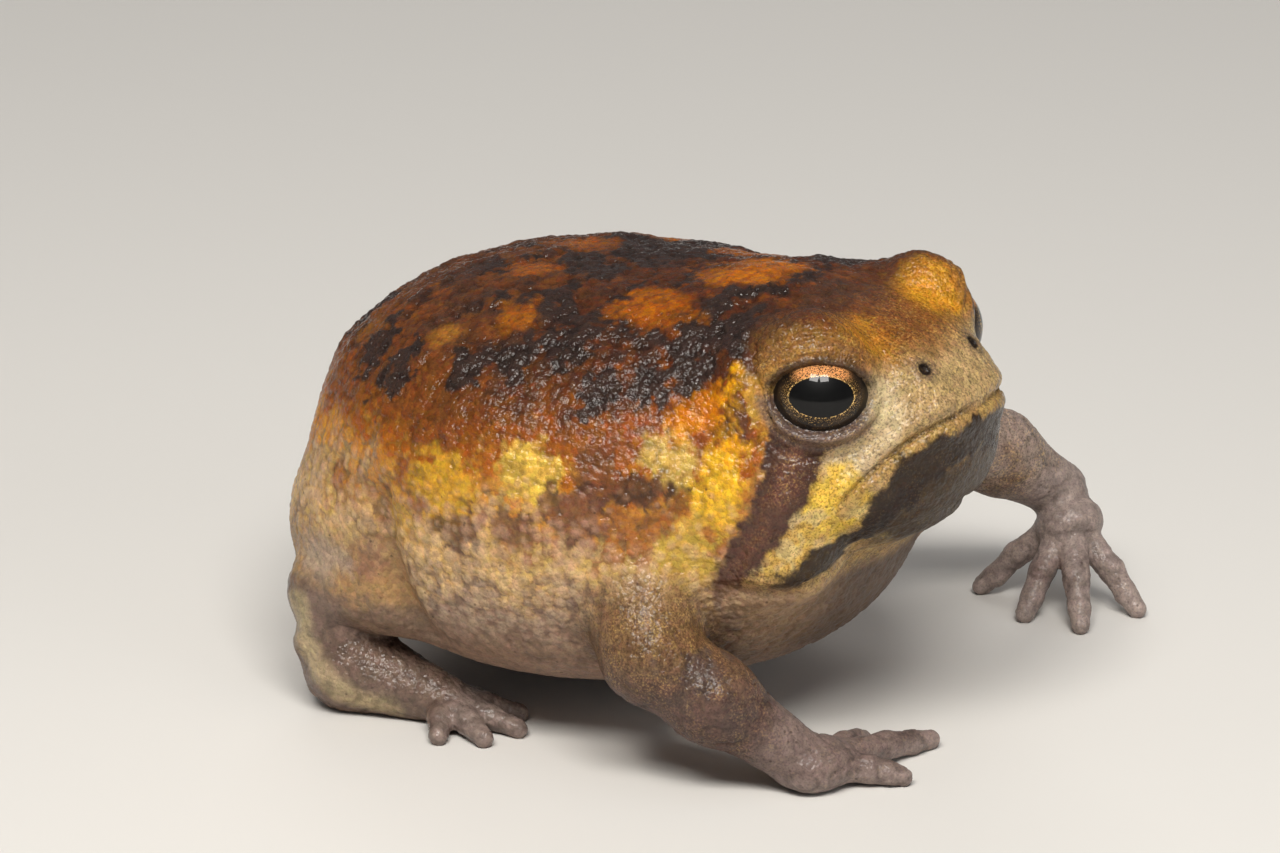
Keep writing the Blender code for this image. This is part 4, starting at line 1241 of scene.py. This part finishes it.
def dressed(obj, shift, slot, *nodes):
    """Moves a piece into the row's frame, where it takes the place of the CAD nodes."""
    mesh = obj.data
    mesh.transform(Matrix.Translation(shift) @ Matrix.Scale(MM, 4))
    mesh.polygons.foreach_set("use_smooth", np.ones(len(mesh.polygons), bool))
    mesh.update()
    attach(obj, "root")
    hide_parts(*nodes)


# Camera, floor and light

CAMERA_TURN = -58.0
CAMERA_RAISE = 20.0
LENS = 150.0
SENSOR = 36.0
FRAME_WIDTH, FRAME_HEIGHT = 1280, 853
PIXELS_PER_MM = 18.9
NEAR_EYE_PIXEL = (820, 392)


def camera_axes():
    back = Vector(direction(CAMERA_TURN, CAMERA_RAISE))
    right = Vector((cos(radians(CAMERA_TURN)), sin(radians(CAMERA_TURN)), 0))
    return back, right, back.cross(right)


def make_camera(shift):
    back, right, up = camera_axes()
    distance = FRAME_WIDTH * LENS / SENSOR / PIXELS_PER_MM
    near_eye = Vector((-EYE[0], EYE[1], EYE[2]))
    place = near_eye + back * distance
    place += right * ((FRAME_WIDTH / 2 - NEAR_EYE_PIXEL[0]) / PIXELS_PER_MM)
    place += up * ((NEAR_EYE_PIXEL[1] - FRAME_HEIGHT / 2) / PIXELS_PER_MM)
    lens = bpy.data.cameras.new("camera")
    lens.lens = LENS
    lens.sensor_width = SENSOR
    lens.clip_start, lens.clip_end = 0.01, 10
    camera = bpy.data.objects.new("camera", lens)
    bpy.context.scene.collection.objects.link(camera)
    camera.location = place * MM + shift
    camera.rotation_mode = "QUATERNION"
    camera.rotation_quaternion = back.to_track_quat("Z", "Y")
    bpy.context.scene.camera = camera


def make_floor():
    shape = bmesh.new()
    bmesh.ops.create_grid(shape, x_segments=2, y_segments=2, size=1.2)
    mesh = mesh_of(shape, "floor")
    pale = Shading("floor").surface(Base_Color=(0.66, 0.64, 0.61, 1), Roughness=0.75, Specular_IOR_Level=0.2)
    mesh.materials.append(pale)
    new_object("floor", mesh)


def area_light(name, turned, raised, distance, size, power, tone, glints=False):
    """A soft light aimed at the frog's head, from that side and height in degrees."""
    aim = Vector((-0.004, -0.008, 0.014))
    way = Vector(direction(turned, raised))
    lamp = bpy.data.lights.new(name, "AREA")
    lamp.shape = "RECTANGLE"
    lamp.size, lamp.size_y = size
    lamp.energy = power
    lamp.color = tone
    obj = bpy.data.objects.new(name, lamp)
    bpy.context.scene.collection.objects.link(obj)
    obj.location = aim + way * distance
    obj.rotation_mode = "QUATERNION"
    obj.rotation_quaternion = way.to_track_quat("Z", "Y")
    obj.visible_glossy = glints


def make_light():
    area_light("key_a", -82, 53, 0.36, (0.12, 0.10), 0.80, (1.0, 0.97, 0.92), True)
    area_light("key_b", -46, 53, 0.36, (0.12, 0.10), 0.80, (1.0, 0.97, 0.92), True)
    area_light("overhead", -20, 80, 0.5, (0.4, 0.4), 0.30, (0.97, 0.98, 1.0))
    area_light("fill", -5, 22, 0.6, (0.3, 0.25), 0.35, (0.95, 0.97, 1.0))
    area_light("rim", 130, 42, 0.6, (0.3, 0.3), 0.6, (1.0, 0.97, 0.93))
    world = bpy.data.worlds.new("world")
    world.use_nodes = True
    background = world.node_tree.nodes["Background"]
    background.inputs[0].default_value = (0.88, 0.90, 0.92, 1)
    background.inputs[1].default_value = 0.15
    bpy.context.scene.world = world


def main():
    make_forms()
    places = np.array([(NOSTRIL[0] * side, NOSTRIL[1], NOSTRIL[2]) for side in (1, -1)])
    starts = settled(bare_skin, places, 6)
    _, outward = slope(bare_skin, starts)
    NOSTRILS.extend(zip(starts, starts - outward * 0.75))
    low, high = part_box("eye_right")
    shift = (Vector(low) + Vector(high)) / 2 - Vector((-EYE[0], EYE[1], EYE[2])) * MM
    flesh = [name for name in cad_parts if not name.startswith("eye_")]
    dressed(make_skin(), shift, "torso", *flesh)
    wet = eye_material()
    for side, word in ((-1, "right"), (1, "left")):
        dressed(make_eye(side, "eyeball_" + word, wet), shift, "eye", "eye_" + word)
    make_camera(shift)
    make_floor()
    make_light()
    bpy.context.scene.view_settings.view_transform = "Standard"


main()
